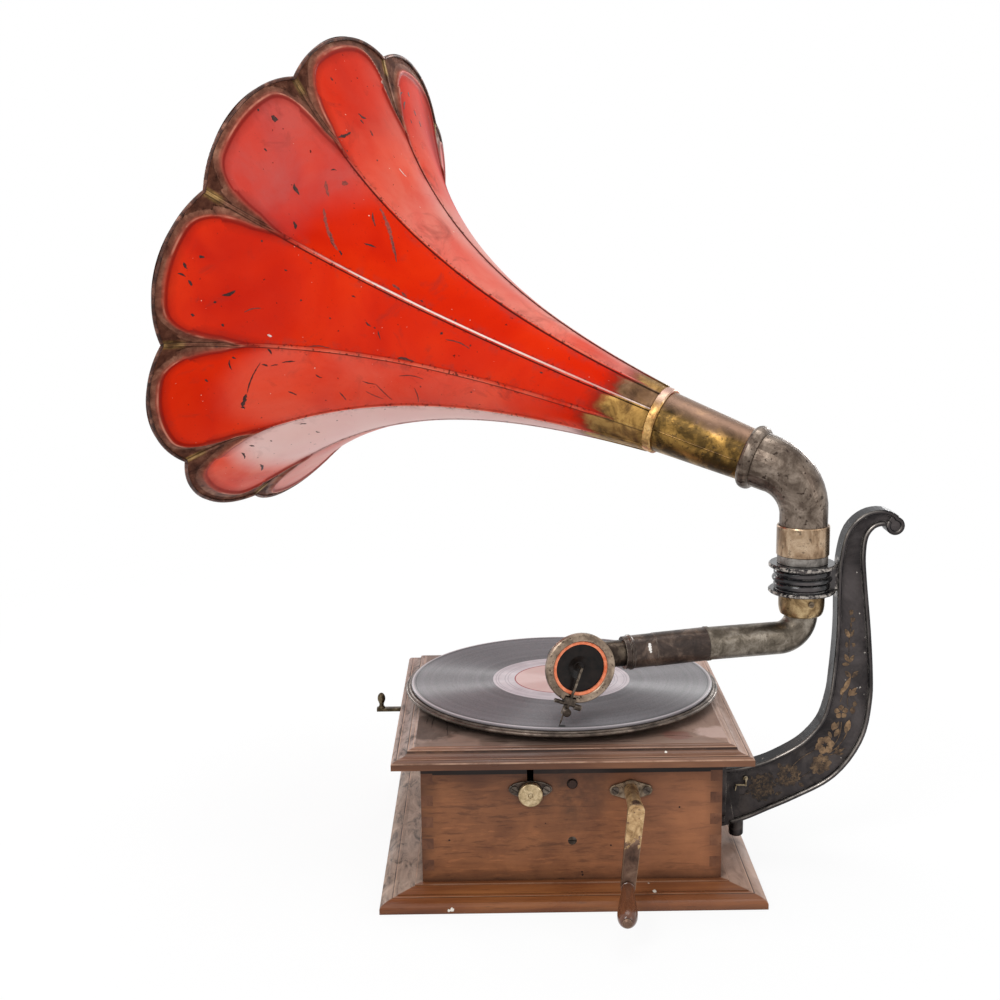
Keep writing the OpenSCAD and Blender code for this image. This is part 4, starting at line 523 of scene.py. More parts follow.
# each look by the nodes that wear it, or by a name of its own for the pieces made further down
mats = {
    "case_front": wood("wood_front", "X", "56301f", "885636", "a66c44", figure=0.35, seed=0.4, panel=True,
        dots=(((-93.9, -123.5, 45.2), 0.9), ((30.1, -123.5, 39.4), 0.8), ((82.5, -123.5, 69.6), 0.9),
        ((7.9, -123.5, 17.9), 0.8), ((8.2, -123.5, 15.6), 0.9), ((-20, -123.5, 58), 0.6))),
    "case_left case_right": wood("wood_side", "Y", *WALNUT, seed=1.3, dust=0.3),
    "case_back": wood("wood_back", "X", *WALNUT, seed=2.3),
    "base_mouldings": wood("wood_base", "X", "4c2410", "76401d", "a26638", rough=0.26, coat=0.24, dust=0.06,
        dust_color="a89282", seed=3.1, side_dust=0.92, ridges=((21.3, 0.45, True), (22.2, 0.6, False),
        (5.4, 0.4, True)), chips=(((61.9, -141.4, 9.9), 1.9), ((58.5, -130.5, 11.2), 0.8),
        ((-91.9, -155, 3.3), 1.6), ((-94.2, -155, 2.6), 1.1))),
    "lid_mouldings": wood("wood_lid", "X", "381e14", "5c3825", "8a5c3e", rough=0.32, coat=0.12, dust=0.18,
        dust_color="aa978d", seed=4.7, side_dust=0.92, ridges=((5, 0.4, True), (8.6, 0.45, True),
        (9.5, 0.6, False), (16.4, 0.45, True), (17.2, 0.5, False), (20.5, 0.5, True)),
        chips=(((70.4, -134.3, 118.3), 1.1),)),
    # motor board: a pale worn patch and a red-brown smudge on the right; the two dark patches on the left, beside
    # the platter, are painted shade
    "motor_board": wood("wood_board", "X", "3e2c23", "624a3d", "8c6e5e", rough=0.5, dust=0.55,
        dust_color="9e8a7f", seed=5.2, side_dust=0.5, patches=(((110, -102, 122.4), 14, "ccb0a6", 0.6),
        ((82, -109, 122.4), 11, "78423a", 0.45), ((-108, -84, 122.4), 34, "42342c", 0.8),
        ((-60, -120, 122.4), 14, "42322a", 0.45))),
    "bottom_board front_plug": wood("wood_dark", "X", "1e130e", "34221a", "4c342a", seed=6.1),
    "crank_handle": wood("wood_handle", "Y", "341c12", "623a26", "926040", rough=0.2, coat=0.5, seed=7.7),
    "crank_plate soundbox_housing cup_screws spindle": metal("nickel", "51473b", "8e7c69", "c3b097", 1, 90, 0.75,
        pit=0.35, spot="281e18"),
    "arm_tube": metal("tube_nickel", "4a433a", "6c6358", "948b7f", 2, 85, 0.5, pit=0.3, rough=(0.28, 0.46)),
    "arm_crook": metal("crook_nickel", "251e19", "413730", "685c4f", 2.5, 90, 0.5, rough=(0.28, 0.46)),
    "regulator_knob": metal("knob_nickel", "897759", "bda682", "e2cfab", 3, 150, 0.4, edge_color="e2d8be"),
    "front_screws bracket_screws brake_pivot needle needle_screw": metal("worn_steel", "322a24", "5c524a",
        "8e8278", 4, 70, 0.6, rough=(0.32, 0.55), pit=0.4),
    # elbow: the dark tint on its outer side is painted shade
    "horn_elbow": metal("elbow_steel", "463a32", "72655a", "a09184", 5, 46, 0.9, rough=(0.3, 0.46), pit=0.15,
        spot="2c211c", dirt_and_shade=0, painted_light_by_facing=((0.8, 0.38, 0.48), "46362e", 0.65)),
    "crank_shaft crank_arm": crank_look("crank_steel"),
    "brake_lever": metal("brake_steel", "342b20", "584c3a", "84765e", 6.4, 120, 0.5),
    "spring_barrel train_gear governor": metal("worn_brass", "4a3a1c", "846a32", "bc9c56", 7, 50, 0.5,
        rough=(0.26, 0.46)),
    "arm_cup": metal("cup_brass", "54422b", "967c59", "d0b78c", 8, 60, 0.6, rough=(0.2, 0.42)),
    "brass_ring": metal("ring_brass", "5c4836", "9c8268", "d8c0a4", 9, 46, 0.6, rough=(0.22, 0.4),
        stretch=(1, 1, 0.35), pit=0.15),
    # sleeve and throat band: the pale mauve on their upper faces is painted glare
    "horn_sleeve": metal("sleeve_brass", "3a2c17", "7a5d2f", "ac8546", 10, 40, 0.6, rough=(0.28, 0.46),
        crisp=True, blotch="503e21", painted_light_by_facing=((0.3, -0.15, 0.94), "846858", 0.85)),
    "throat_band": metal("band_copper", "8a663c", "d8ac6c", "f0ce92", 11, 70, 0.5, blotch="ba4c32",
        painted_light_by_facing=((0.3, -0.15, 0.94), "ba9c8e", 0.85)),
    "zinc_ring": metal("zinc", "5b5651", "8a837d", "b6b1a9", 12, 60, 0.3, metallic=0.7, rough=(0.4, 0.6)),
    "arm_sleeve regulator_plate": metal("dark_sleeve", "281d18", "42342c", "6c5a4e", 13, 75, 0.6, metallic=0.35,
        rough=(0.24, 0.44), edge_color="b0a496", spot="1b1310", nicks=(((62.5, -87.6, 188.6), 1.3),
        ((62.7, -88.6, 187), 1.5), ((62.9, -89.4, 185.2), 1.4), ((63.4, -90, 183.4), 1.1),
        ((66, -90.6, 181.6), 1.2))),
    "platter": metal("platter_rim", "322a25", "5c5047", "807369", 14, 50, 0.5, edge_color="9e9288",
        rough=(0.34, 0.52), pit=0.12, metallic=0.7),
    "motor_top_plate motor_bottom_plate motor_pillars winding_gear": metal("motor_steel", "545454", "80807e",
        "a8a8a4", 15, 60, 0.3),
    "mainspring": metal("spring_steel", "282e3a", "424a5a", "646e80", 16, 60, 0.2),
    "soundbox_gasket": plain("gasket_rubber", "d66640", "f69a72", rough=0.6, scale=240, specular=0.2),
    "soundbox_ring": metal("soundbox_rim", "625448", "948170", "bca894", 18, 62, 0.95, pit_size=0.27, pit=0.3,
        spot="2c231c", rough=(0.34, 0.5)),
    "wire_hook": metal("hook_steel", "5c4e3a", "96866c", "dcd0ba", 19, 160, 0.5),
    "diaphragm": plain("dark_disc", "060403", "1d1410", rough=0.34, scale=160, specular=0.2),
    "stylus_bar": metal("needle_bar", "322b25", "584d43", "887b6c", 17, 160, 0.4, metallic=0.75),
    "bracket wall_plate": black_enamel("black_enamel"),
    "bead": black_enamel("black_bead", bead=True),
    "petal": enamel("red_enamel"),
    "dull_petal": enamel("dull_enamel", 0.02),
    "marks": marks_look("enamel_marks"),
    "rim": metal("rim_roll", "301e19", "5a392f", "8c6251", 21, 110, 0.4, metallic=0.5, rough=(0.3, 0.46), dirt_and_shade=0),
    "vine": vine_paint("gold_vine"),
    "crack": plain("crack_dark", "120b09", "2c1c16", rough=0.8),
    "record": record_look("record_black", ((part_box("record")[0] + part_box("record")[1]) / 2).xy),
}
for names, look in mats.items():
    for data in [nodes[name].data for name in names.split() if name in nodes]:
        data.materials.clear()
        data.materials.append(look)


# -------------------- geometry helpers

def rows(text):
    return [[float(v) for v in row.split()] for row in text.split(",")]


def add_object(name, data):
    ob = bpy.data.objects.new(name, data)
    bpy.context.scene.collection.objects.link(ob)
    return ob


def mesh_object(name, verts, faces, material, body, smooth=True):
    data = bpy.data.meshes.new(name)
    data.from_pydata([tuple(v) for v in verts], [], faces)
    data.update()
    for p in data.polygons:
        p.use_smooth = smooth
    ob = add_object(name, data)
    data.materials.append(material)
    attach(ob, body)
    return ob


def field(ob, name, values):
    """A number per vertex that the look reads."""
    ob.data.attributes.new(name, "FLOAT", "POINT").data.foreach_set("value", values)


def tube(name, points, radius, material, body, sides=10):
    """Round rod along a list of points."""
    pts = [Vector(p) for p in points]
    last = len(pts) - 1
    verts, faces = [], []
    up = None
    for i, p in enumerate(pts):
        t = (pts[min(i + 1, last)] - pts[max(i - 1, 0)]).normalized()
        if up is None:
            up = t.orthogonal().normalized()
        up = (up - t * up.dot(t)).normalized()
        side = t.cross(up)
        verts += [p + (up * math.cos(q) + side * math.sin(q)) * radius
                  for q in (2 * math.pi * j / sides for j in range(sides))]
    for i in range(last):
        for j in range(sides):
            a, b = i * sides + j, i * sides + (j + 1) % sides
            faces.append((a, b, b + sides, a + sides))
    faces += [tuple(reversed(range(sides))), tuple(last * sides + j for j in range(sides))]
    return mesh_object(name, verts, faces, material, body)


def ribbon_faces(base, n):
    """Closed thin strip of n spans over rings of four vertices."""
    faces = []
    for c in range(base, base + 4 * n, 4):
        faces += [(c, c + 2, c + 6, c + 4), (c + 1, c + 5, c + 7, c + 3), (c, c + 4, c + 5, c + 1),
                  (c + 2, c + 3, c + 7, c + 6)]
    c = base + 4 * n
    return faces + [(base, base + 1, base + 3, base + 2), (c, c + 2, c + 3, c + 1)]


# -------------------- horn petals

PIVOT = Vector((0.1874, -0.048, 0.3111))
HORN = (Matrix.Translation(PIVOT) @ Matrix.Rotation(math.radians(-28.0), 4, "Z")
        @ Matrix.Rotation(math.radians(17.74 - 90.0), 4, "Y"))
PETALS = 10
START, LENGTH = 130.0, 346.4
THROAT_R, RIM_R, SHARE = 27.4, 205.3, 0.71
BULGE, REACH, SHEET = 14.0, 8.3, 0.9
SEAM_ANGLE = 6.3


def flare(t):
    return THROAT_R * (RIM_R / THROAT_R) ** (SHARE * t + (1 - SHARE) * t * t)


STEPS = 400
run = [0.0]
for i in range(STEPS):
    a, b = i / STEPS, (i + 1) / STEPS
    run.append(run[-1] + math.hypot(flare(b) - flare(a), LENGTH / STEPS))
FULL = run[-1]


def t_at(distance):
    """The t whose skin lies this far from the throat along the profile, in mm."""
    lo = min(bisect.bisect_right(run, distance), STEPS) - 1
    return min(1.0, (lo + (distance - run[lo]) / (run[lo + 1] - run[lo])) / STEPS)


def petal_point(k, t, w, out):
    slope = math.atan2(flare(t + 0.001) - flare(t - 0.001), 0.002 * LENGTH)
    lift = t ** 5 * (1 - w * w)
    r = flare(t) + BULGE * lift + out * math.cos(slope)
    s = START + t * LENGTH + REACH * lift - out * math.sin(slope)
    a = math.radians(SEAM_ANGLE + 36.0 * (k - 0.5 + w / 2))
    return HORN @ Vector((r * math.cos(a) * MM, r * math.sin(a) * MM, s * MM))


LOBE_A, LOBE_B, SEAM_MARGIN, RIM_MARGIN = 30.0, 58.0, 3.4, 8.0
CLOSING = 50.0            # how deep inside the far side of a lobe counts, in mm


def lobe_distance(side, depth):
    """Rough distance in mm inside the rounded lobe, from the distances to the seam and to the rim."""
    a = max(0.0, (LOBE_A - (side - SEAM_MARGIN)) / LOBE_A)
    b = max(0.0, (LOBE_B - (depth - RIM_MARGIN)) / LOBE_B)
    m = 1 - (a ** 2.4 + b ** 2.4) ** (1 / 2.4)
    return m * (LOBE_A if a > b else LOBE_B) * 0.8 + 0.2 * max(0.0, depth - CLOSING)


def smooth(v, lo, hi):
    q = min(1.0, max(0.0, (v - lo) / (hi - lo)))
    return q * q * (3 - 2 * q)


def haze_glare_shade_at(k, t, w):
    """Faded and dusty areas of the enamel, with painted glare on the lower petals, petal by petal: 0 to 1; painted
    shade, dark and dull, below 0.
    """
    if k == 9:
        return 0.4 * smooth(t + 0.05 * w, 0.78, 0.88)
    if k == 10:
        middle = smooth(t, 0.05, 0.3) * (1 - smooth(t, 0.68, 0.95))
        throat = 1 - smooth(t, 0.08, 0.24)
        return 0.06 + 0.14 * smooth(w, 0.0, 0.9) + 0.36 * middle + 0.4 * throat
    if k == 8:
        return 0.02
    if k == 7:
        middle = (1 - smooth(t + 0.06 * w * w, 0.86, 0.94)) * smooth(t, 0.15, 0.4)
        return 0.18 * middle + 0.3 * (1 - smooth(t, 0.1, 0.3)) * smooth(-w, 0.1, 0.8)
    if k == 6:
        return 0.82 - 0.52 * smooth(t - 0.02 * w, 0.87, 0.95)
    if k == 5:
        return 0.6
    if k == 1:
        pale = (0.62 - 0.52 * smooth(t, 0.62, 0.95)) * (1 - 0.8 * smooth(w, -0.2, 0.5))
        return pale - 0.55 * smooth(w, -0.1, 0.5)
    return 0.08


def glint_at(k, t, w, over):
    """Painted highlight along the crown of the one seam that catches the light."""
    if k != 9 or w > 0:
        return 0.0
    return smooth(-over, 0.0, 0.4) * (1 - smooth(t, 0.68, 0.86)) * (0.45 + 0.55 * smooth(t, 0.15, 0.4))


def inset_at(k, t, w):
    """How much wider the bare border is on some petals, in mm."""
    if k == 10:
        return 6.0 * smooth(w, 0.3, 0.9) * smooth(t, 0.84, 0.95)
    return 4.0 * smooth(t, 0.9, 0.97) if k in (1, 6) else 0.0


# browner metal at the throat: 1, gold: 0
SHADE = {10: 0.35, 9: 0.9, 8: 0.1, 7: 0.35, 6: 0.2, 5: 0.5, 1: 0.3}
# how much nearer to the throat the enamel still holds, in mm
HOLDS = {10: 28.0, 9: 20.0, 8: 13.0, 7: 6.0}
ROWS, COLS = 132, 64


def row_distance(i):
    q = i / ROWS
    return FULL * (0.34 * q + 0.66 * (1 - (1 - q) ** 2.0))


BARE_FROM, BARE_FADE = 95.0, 30.0     # how far from the rim the border and its welt begin, in mm
WELT, WELT_AT, WELT_WIDTH = 1.6, 0.4, 1.5
BORDER_SINK, BORDER_SLOPE = 0.9, 4.0
SEAM_BAND, SEAM_RISE = 1.7, 1.0
# the inside of the bell painted darker, as painted shade
INNER_SHADE = -0.22
# how dark the painted shade line is on each flank of a seam
FACING_FLANK, OTHER_FLANK = 1.0, 0.4


def build_petal(k):
    verts, readings = [], []
    for skin in (0, 1):
        for i in range(ROWS + 1):
            d = row_distance(i)
            t = t_at(d)
            half = flare(t) * math.pi / PETALS
            depth = FULL - d
            strip = min(SEAM_BAND, 0.5 + 0.1 * half)
            near_rim = smooth(BARE_FROM - depth, 0.0, BARE_FADE)
            for j in range(COLS + 1):
                q = 2 * j / COLS - 1
                w = 0.5 * q + 0.5 * math.sin(math.pi / 2 * q)
                side = (1 - abs(w)) * half
                inside = lobe_distance(side, depth) - inset_at(k, t, w)
                out = -SHEET
                if skin == 0:
                    out = WELT * math.exp(-((inside - WELT_AT) / WELT_WIDTH) ** 2) * near_rim
                    out -= BORDER_SINK * min(1.0, max(0.0, -inside / BORDER_SLOPE)) * near_rim
                    out += SEAM_RISE * min(1.0, max(0.0, (strip - side) / 0.5 + 0.5))
                verts.append(petal_point(k, t, w, out))
                readings.append((inside * MM, side * MM, (d + HOLDS.get(k, 0.0)) * MM, depth * MM,
                                 INNER_SHADE if skin else haze_glare_shade_at(k, t, w), SHADE.get(k, 0.5),
                                 (side - strip) * MM, FACING_FLANK if w > 0 else OTHER_FLANK,
                                 glint_at(k, t, w, side - strip)))
    m = COLS + 1
    n = (ROWS + 1) * m
    faces = []
    for i in range(ROWS):
        for j in range(COLS):
            a = i * m + j
            faces.append((a, a + 1, a + m + 1, a + m))
            faces.append((n + a, n + a + m, n + a + m + 1, n + a + 1))
    for i in range(ROWS):
        for a, flip in ((i * m, False), (i * m + COLS, True)):
            f = (a, a + m, n + a + m, n + a)
            faces.append(tuple(reversed(f)) if flip else f)
    for j in range(COLS):
        a = ROWS * m + j
        faces.append((a, a + 1, n + a + 1, n + a))
        faces.append((n + j, n + j + 1, j + 1, j))
    ob = mesh_object(f"petal_skin_{k}", verts, faces, mats["dull_petal" if k == 1 else "petal"], "horn")
    for name, values in zip(PETAL_FIELDS, zip(*readings)):
        field(ob, name, values)
    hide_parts(f"horn_petal_{k}")


ROLL_R, EDGE_STEPS = 1.5, 24
for k in range(1, PETALS + 1):
    build_petal(k)
    edge = [petal_point(k, 1.0 - 0.0035 * (1 - abs(q / EDGE_STEPS)), q / EDGE_STEPS, -0.4)
            for q in range(-EDGE_STEPS, EDGE_STEPS + 1)]
    roll = tube(f"petal_roll_{k}", edge, ROLL_R * MM, mats["rim"], "horn")


# Knocks and scratches in the enamel: petal, then t and w of both ends, width in mm, and tone from dark 0 to pale 1
MARKS = rows("""
    9 .963 .38 .955 .33 4 0, 9 .943 -.07 .938 -.07 2 0, 9 .98 .25 .978 .25 2 0, 9 .883 -.15 .868 -.25 3 0,
    9 .86 -.68 .853 -.78 3 0, 9 .858 .53 .853 .62 1.5 0, 9 .83 .5 .825 .62 4 .25, 10 .9 -.22 .888 -.1 2 0,
    10 .89 -.25 .883 -.22 1.5 0, 10 .897 -.9 .885 -.6 2.2 0, 10 .87 -.15 .86 -.15 2 .1,
    9 .735 -.22 .713 -.12 1.6 0, 10 .795 .05 .777 .12 1 1, 9 .85 .3 .83 .1 2.6 .3, 9 .825 -.15 .772 -.7 3.4 .3,
    9 .758 .8 .677 .03 3.4 .3, 1 .948 -.42 .94 -.42 2.6 0, 1 .93 -.62 .917 -.75 2 0, 1 .92 -.35 .91 -.32 2.2 0,
    1 .905 -.22 .895 -.2 2 0, 1 .9 -.6 .893 -.6 1.6 0, 1 .945 -.65 .935 -.8 1.6 0, 8 .912 -.22 .895 -.1 2.4 0,
    8 .955 .23 .948 .23 3 0, 8 .97 .1 .963 .03 1.8 0, 8 .973 -.05 .963 -.07 1.6 0, 8 .958 -.1 .953 -.17 2 0,
    8 .922 -.32 .92 -.35 2 0, 8 .953 -.55 .948 -.57 3 0, 8 .843 -.78 .835 -.8 3 1, 8 .642 -.17 .633 -.42 1.4 0,
    8 .67 -.02 .657 -.1 1.6 0, 8 .652 -.1 .647 -.12 1.4 0, 8 .515 .45 .512 .43 2.4 0,
    8 .593 -.9 .552 -.95 3.6 .05, 7 .848 .65 .865 .05 1.1 0, 7 .868 .03 .878 -.25 3.4 0, 7 .88 -.25 .875 -.3 2 0,
    7 .845 .62 .835 .58 1.6 0, 7 .83 .58 .818 .6 1.4 0, 7 .812 .65 .79 .68 1.4 0, 7 .843 .93 .833 .83 1.4 0,
    7 .8 -.07 .787 -.2 1.6 0, 7 .75 .35 .738 .25 1.2 0, 7 .708 -.25 .7 -.57 1.3 0, 7 .66 .15 .633 .05 .9 0,
    7 .633 .05 .605 -.68 .9 0, 7 .655 -.25 .623 -.62 .9 .1, 7 .583 .45 .53 .45 .9 .1, 7 .55 -.02 .547 -.78 1 0,
    6 .915 .6 .915 .4 1.6 0, 6 .905 -.02 .917 -.27 2 0, 6 .9 .7 .893 .62 1.2 0, 6 .865 .6 .863 .55 1.2 0,
    6 .807 .8 .795 .75 1.2 0, 6 .785 .35 .78 .23 1.6 0, 7 .927 1 .922 .95 2 0, 7 .895 .78 .888 .75 1.6 0,
    7 .927 .43 .922 .38 1.6 0, 7 .897 .73 .89 .55 1 0, 8 .91 -.65 .91 -.7 2 0, 8 .878 -.42 .853 -.3 1 .2,
    9 .797 -.45 .782 -.68 2.2 .1, 9 .77 -.68 .763 -.75 2 0, 9 .705 .4 .665 -.12 1.8 .15,
    9 .76 .55 .738 .33 1.6 .1, 9 .585 -.78 .578 -.78 1.6 0, 9 .5 -.85 .495 -.85 1.6 0, 8 .795 .03 .792 .03 1.6 0,
    8 .738 -.17 .735 -.2 1.4 0, 8 .713 .5 .705 .5 1.4 0, 8 .838 .48 .833 .48 1.4 0, 8 .893 .78 .89 .75 1.4 0,
    8 .807 .8 .805 .8 1.6 0, 8 .38 .85 .372 .85 1.6 0, 8 .445 .43 .443 .4 1.4 0, 8 .273 .48 .265 .48 1.6 0,
    7 .537 .1 .535 .07 1.4 0, 7 .422 .18 .417 .2 1.4 0, 9 .652 -.75 .633 -.8 2.6 .2,
    9 .628 -.82 .613 -.88 2.6 .15, 10 .96 -.42 .955 -.4 1.6 0, 10 .955 -.82 .953 -.8 1.6 0,
    10 .873 -.9 .87 -.9 1.4 0, 10 .825 -.42 .823 -.4 1.4 0, 8 .772 -.95 .733 -.93 1.4 .1,
    8 .5 .28 .443 .28 1.2 .1
    """)


def build_marks():
    """Each mark is a thin ragged flake that follows the petal's skin."""
    rng = random.Random(5)
    verts, faces, tone = [], [], []
    for k, t0, w0, t1, w1, width, shade in MARKS:
        a, b = petal_point(k, t0, w0, 0), petal_point(k, t1, w1, 0)
        length = (b - a).length / MM
        n = max(4, int(length / 1.5))
        across_t = LENGTH * 1.25
        across_w = flare((t0 + t1) / 2) * math.pi / PETALS
        dt, dw = (t1 - t0) * across_t, (w1 - w0) * across_w
        size = math.hypot(dt, dw) or 1.0
        nt, nw = -dw / size, dt / size
        extra = max(0.0, width - length) / 2
        bend = rng.uniform(-0.1, 0.1) * length
        base = len(verts)
        for i in range(n + 1):
            q = i / n
            swell = 0.3 + 0.7 * math.sin(math.pi * (0.06 + 0.88 * q))
            half = width / 2 * swell * rng.uniform(0.55, 1.15)
            if i in (0, n):
                half = 0.12
            slide = (q - 0.5) * extra * 2
            bow = bend * math.sin(math.pi * q)
            mt = t0 + (t1 - t0) * q + (nt * bow + dt / size * slide) / across_t
            mw = w0 + (w1 - w0) * q + (nw * bow + dw / size * slide) / across_w
            wander = rng.uniform(-0.12, 0.12) * width
            for s in (1, -1):
                et = min(0.999, mt + nt * (wander + s * half) / across_t)
                ew = max(-0.99, min(0.99, mw + nw * (wander + s * half) / across_w))
                for out in (0.14, -0.45):
                    verts.append(petal_point(k, et, ew, out))
                    tone.append(shade)
        faces += ribbon_faces(base, n)
    ob = mesh_object("enamel_marks", verts, faces, mats["marks"], "horn", smooth=False)
    field(ob, "tone", tone)


build_marks()

# the folded seam along the sleeve, in mm along the horn and from its axis
SLEEVE_START, SLEEVE_LENGTH, SLEEVE_R, SLEEVE_GROWS = 48.5, 74.5, 21.4, 4.0
SLEEVE_SEAM_ANGLE = math.radians(263.0)
line = []
for i in range(13):
    s = 51.0 + 71.0 * i / 12
    r = SLEEVE_R + (s - SLEEVE_START) / SLEEVE_LENGTH * SLEEVE_GROWS - 0.25
    line.append(HORN @ Vector((r * math.cos(SLEEVE_SEAM_ANGLE) * MM, r * math.sin(SLEEVE_SEAM_ANGLE) * MM, s * MM)))
tube("sleeve_seam", line, 0.75 * MM, mats["horn_sleeve"], "horn", sides=8)


# -------------------- painted vine on the bracket

# the panel's face and how thick the paint is, in metres; each shape lies a hair over the one before
WEB_Y = -0.0538
PAINT, LAYER = 0.00022, 0.000008


class Vine:
    """Thin painted shapes on the bracket's sunk panel; x and z are in mm."""

    def __init__(self):
        self.verts, self.faces, self.worn = [], [], []

    def plate(self, outline, worn):
        base, n = len(self.verts), len(outline)
        lift = PAINT + LAYER * (len(self.faces) % 13)
        for y in (WEB_Y + PAINT, WEB_Y - lift):
            self.verts += [(x * MM, y, z * MM) for x, z in outline]
        self.worn += [worn] * (2 * n)
        self.faces.append(tuple(range(base, base + n)))
        self.faces.append(tuple(base + n + i for i in reversed(range(n))))
        for i in range(n):
            j = (i + 1) % n
            self.faces.append((base + j, base + i, base + n + i, base + n + j))

    def leaf(self, x, z, angle, length, width, worn, blunt=0):
        """A leaf from its foot at x, z; blunt widens its tip into a petal."""
        a = math.radians(angle)
        along, across = (math.cos(a), math.sin(a)), (-math.sin(a), math.cos(a))
        side = []
        for i in range(9):
            q = i / 8
            half = width / 2 * math.sin(math.pi * q ** (1 + blunt)) ** 0.8
            side.append((q * length, half))
        points = side + [(u, -h) for u, h in reversed(side[1:-1])]
        self.plate([(x + u * along[0] + h * across[0], z + u * along[1] + h * across[1]) for u, h in points], worn)

    def flower(self, x, z, radius, petals, turn, worn, width):
        for i in range(petals):
            a = turn + 360 / petals * i
            foot = radius * 0.16
            self.leaf(x + foot * math.cos(math.radians(a)), z + foot * math.sin(math.radians(a)), a, radius * 0.84,
                      radius * width * 5 / petals, worn, 0.35)

    def stem(self, x0, z0, x1, z1, x2, z2, width, worn):
        """A curved stroke from one point towards the second and on to the third."""
        line = []
        for i in range(15):
            q = i / 14
            a, b, c = (1 - q) ** 2, 2 * q * (1 - q), q * q
            line.append((a * x0 + b * x1 + c * x2, a * z0 + b * z1 + c * z2))
        left, right = [], []
        for i, (x, z) in enumerate(line):
            px, pz = line[max(0, i - 1)]
            nx, nz = line[min(14, i + 1)]
            d = math.hypot(nx - px, nz - pz)
            w = width / 2 * (1 - 0.6 * i / 14)
            left.append((x - (nz - pz) / d * w, z + (nx - px) / d * w))
            right.append((x + (nz - pz) / d * w, z - (nx - px) / d * w))
        self.plate(left[::-1] + right, worn)


def build_vine():
    v = Vine()
    # rising stroke of small leaves on the stem: foot, angle, length, width and wear
    for leaf in rows("""
            225.2 200.6 60 4.2 2.6 .35, 227.6 204.4 200 3.6 2.4 .4, 226 195.2 40 4.4 2.8 .35,
            228.6 198.6 215 3.6 2.4 .45, 226.6 190.4 100 4.2 1.6 .5, 225.6 181.8 118 8.6 3.4 .35,
            226.4 182.6 70 6.6 2.2 .55, 223.4 173.8 95 5 2.2 .45, 228.2 174.2 60 3.6 2.2 .35,
            230.2 176.6 170 3.2 1.6 .4, 225.4 162 118 7.4 3.2 .3, 225.6 161 60 7.8 3 .4, 226 160 178 6 3 .35,
            227.8 148.8 132 7.6 3.6 .5, 228.2 148.8 48 7.6 3.6 .5, 221.6 136.6 66 14 3.8 0,
            220 134.4 78 6.6 2.6 .15, 226.4 133.4 50 9.6 3.4 .05, 226.6 133 82 6.4 2.6 .15, 228 134 22 5.6 2 .2
            """):
        v.leaf(*leaf)
    for stem in rows("""226.6 196 224.6 180 225.6 162 .6 .6, 219.6 128.6 222.2 138 226.2 148 .6 .5,
                     226.2 124 224 132 227 140 .5 .6"""):
        v.stem(*stem)
    # open flowers, brightest in the bend
    v.flower(220.6, 120.2, 5.9, 5, 20, 0.15, 0.75)
    v.flower(208.4, 92.4, 8, 6, 10, 0.12, 0.9)
    v.leaf(199.6, 88.4, 22, 8.2, 3.2, 0.3)
    for x, z, radius, petals, turn, worn, width in rows("""205.8 76.6 8.6 8 6 .38 .9, 203.2 73.6 6.6 7 28 .5 .8,
            180 67 10.2 9 15 .62 .9, 158.6 58.2 11.6 10 4 .7 .9, 158 52.6 8.6 8 30 .76 .8"""):
        v.flower(x, z, radius, int(petals), turn, worn, width)
    # buds and leaves
    for leaf in rows("""
            230 118.4 95 6 4.2 .25, 230.8 124.2 80 5 3.2 .4, 230.4 125.6 30 3.4 1.8 .5, 224.8 102.4 76 11.4 5 0,
            225.4 101.6 96 7 3 .3, 214.2 104.6 78 7.4 4.4 .3, 215.8 99.4 62 7.8 4 .3, 213.6 98.6 118 6.2 2.8 .4,
            219 112.2 250 7 2.6 .35, 215.2 84.6 28 10 2.6 .3, 217 87 60 6 2.2 .4, 217.4 84.4 5 6.4 2 .45,
            169.4 60.4 78 4.6 3.4 .6, 174.2 57.6 100 5.2 3.6 .65, 146 51 70 4.4 3.6 .75,
            150.2 62.6 120 5.4 3.8 .72, 166.6 66 130 5.2 3.2 .66, 187.6 60.2 330 5.6 3 .66,
            173.6 72.8 120 5.4 3.4 .62, 168.8 50.6 20 6 3 .72
            """):
        v.leaf(*leaf)
    for stem in rows("""221 112 221.6 100 214.6 90.6 .7 .4, 225.4 102 222 92 210.4 84.4 .7 .35,
                     200 88 188 82 182.6 74.6 .6 .5, 212 84 218 84.6 224.4 89.6 .6 .45,
                     196.8 70 186 61 166 58.6 .6 .65, 150 54 144 50.6 139.6 50.4 .6 .75"""):
        v.stem(*stem)
    ob = mesh_object("painted_vine", v.verts, v.faces, mats["vine"], "case", smooth=False)
    field(ob, "worn", v.worn)


build_vine()

# -------------------- cracks in the motor board

BOARD_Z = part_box("motor_board")[1].z
# three points and the width of each, in mm
CRACKS = (
    ((19.9, -121.7), (34.9, -120.5), (54.8, -122.6), 1), ((60.9, -111.3), (80.3, -108.3), (93.6, -113.3), 0.6),
    ((-105.6, -54.1), (-107, -68.4), (-107.6, -86.2), 1.1),
    ((-111.2, -60.5), (-111.4, -68), (-111.8, -76.5), 0.8),
    ((-95.9, -68.8), (-95.4, -86), (-94.5, -103.9), 0.8),
    ((-104.2, -48.9), (-103.9, -52), (-103.5, -56.8), 1.3),
    ((-69.1, -117.6), (-53, -119), (-37.8, -118.4), 0.7), ((96, 70), (99, 84), (98, 101), 0.8),
    ((-60, 100), (-40, 102), (-16, 100.5), 0.8))


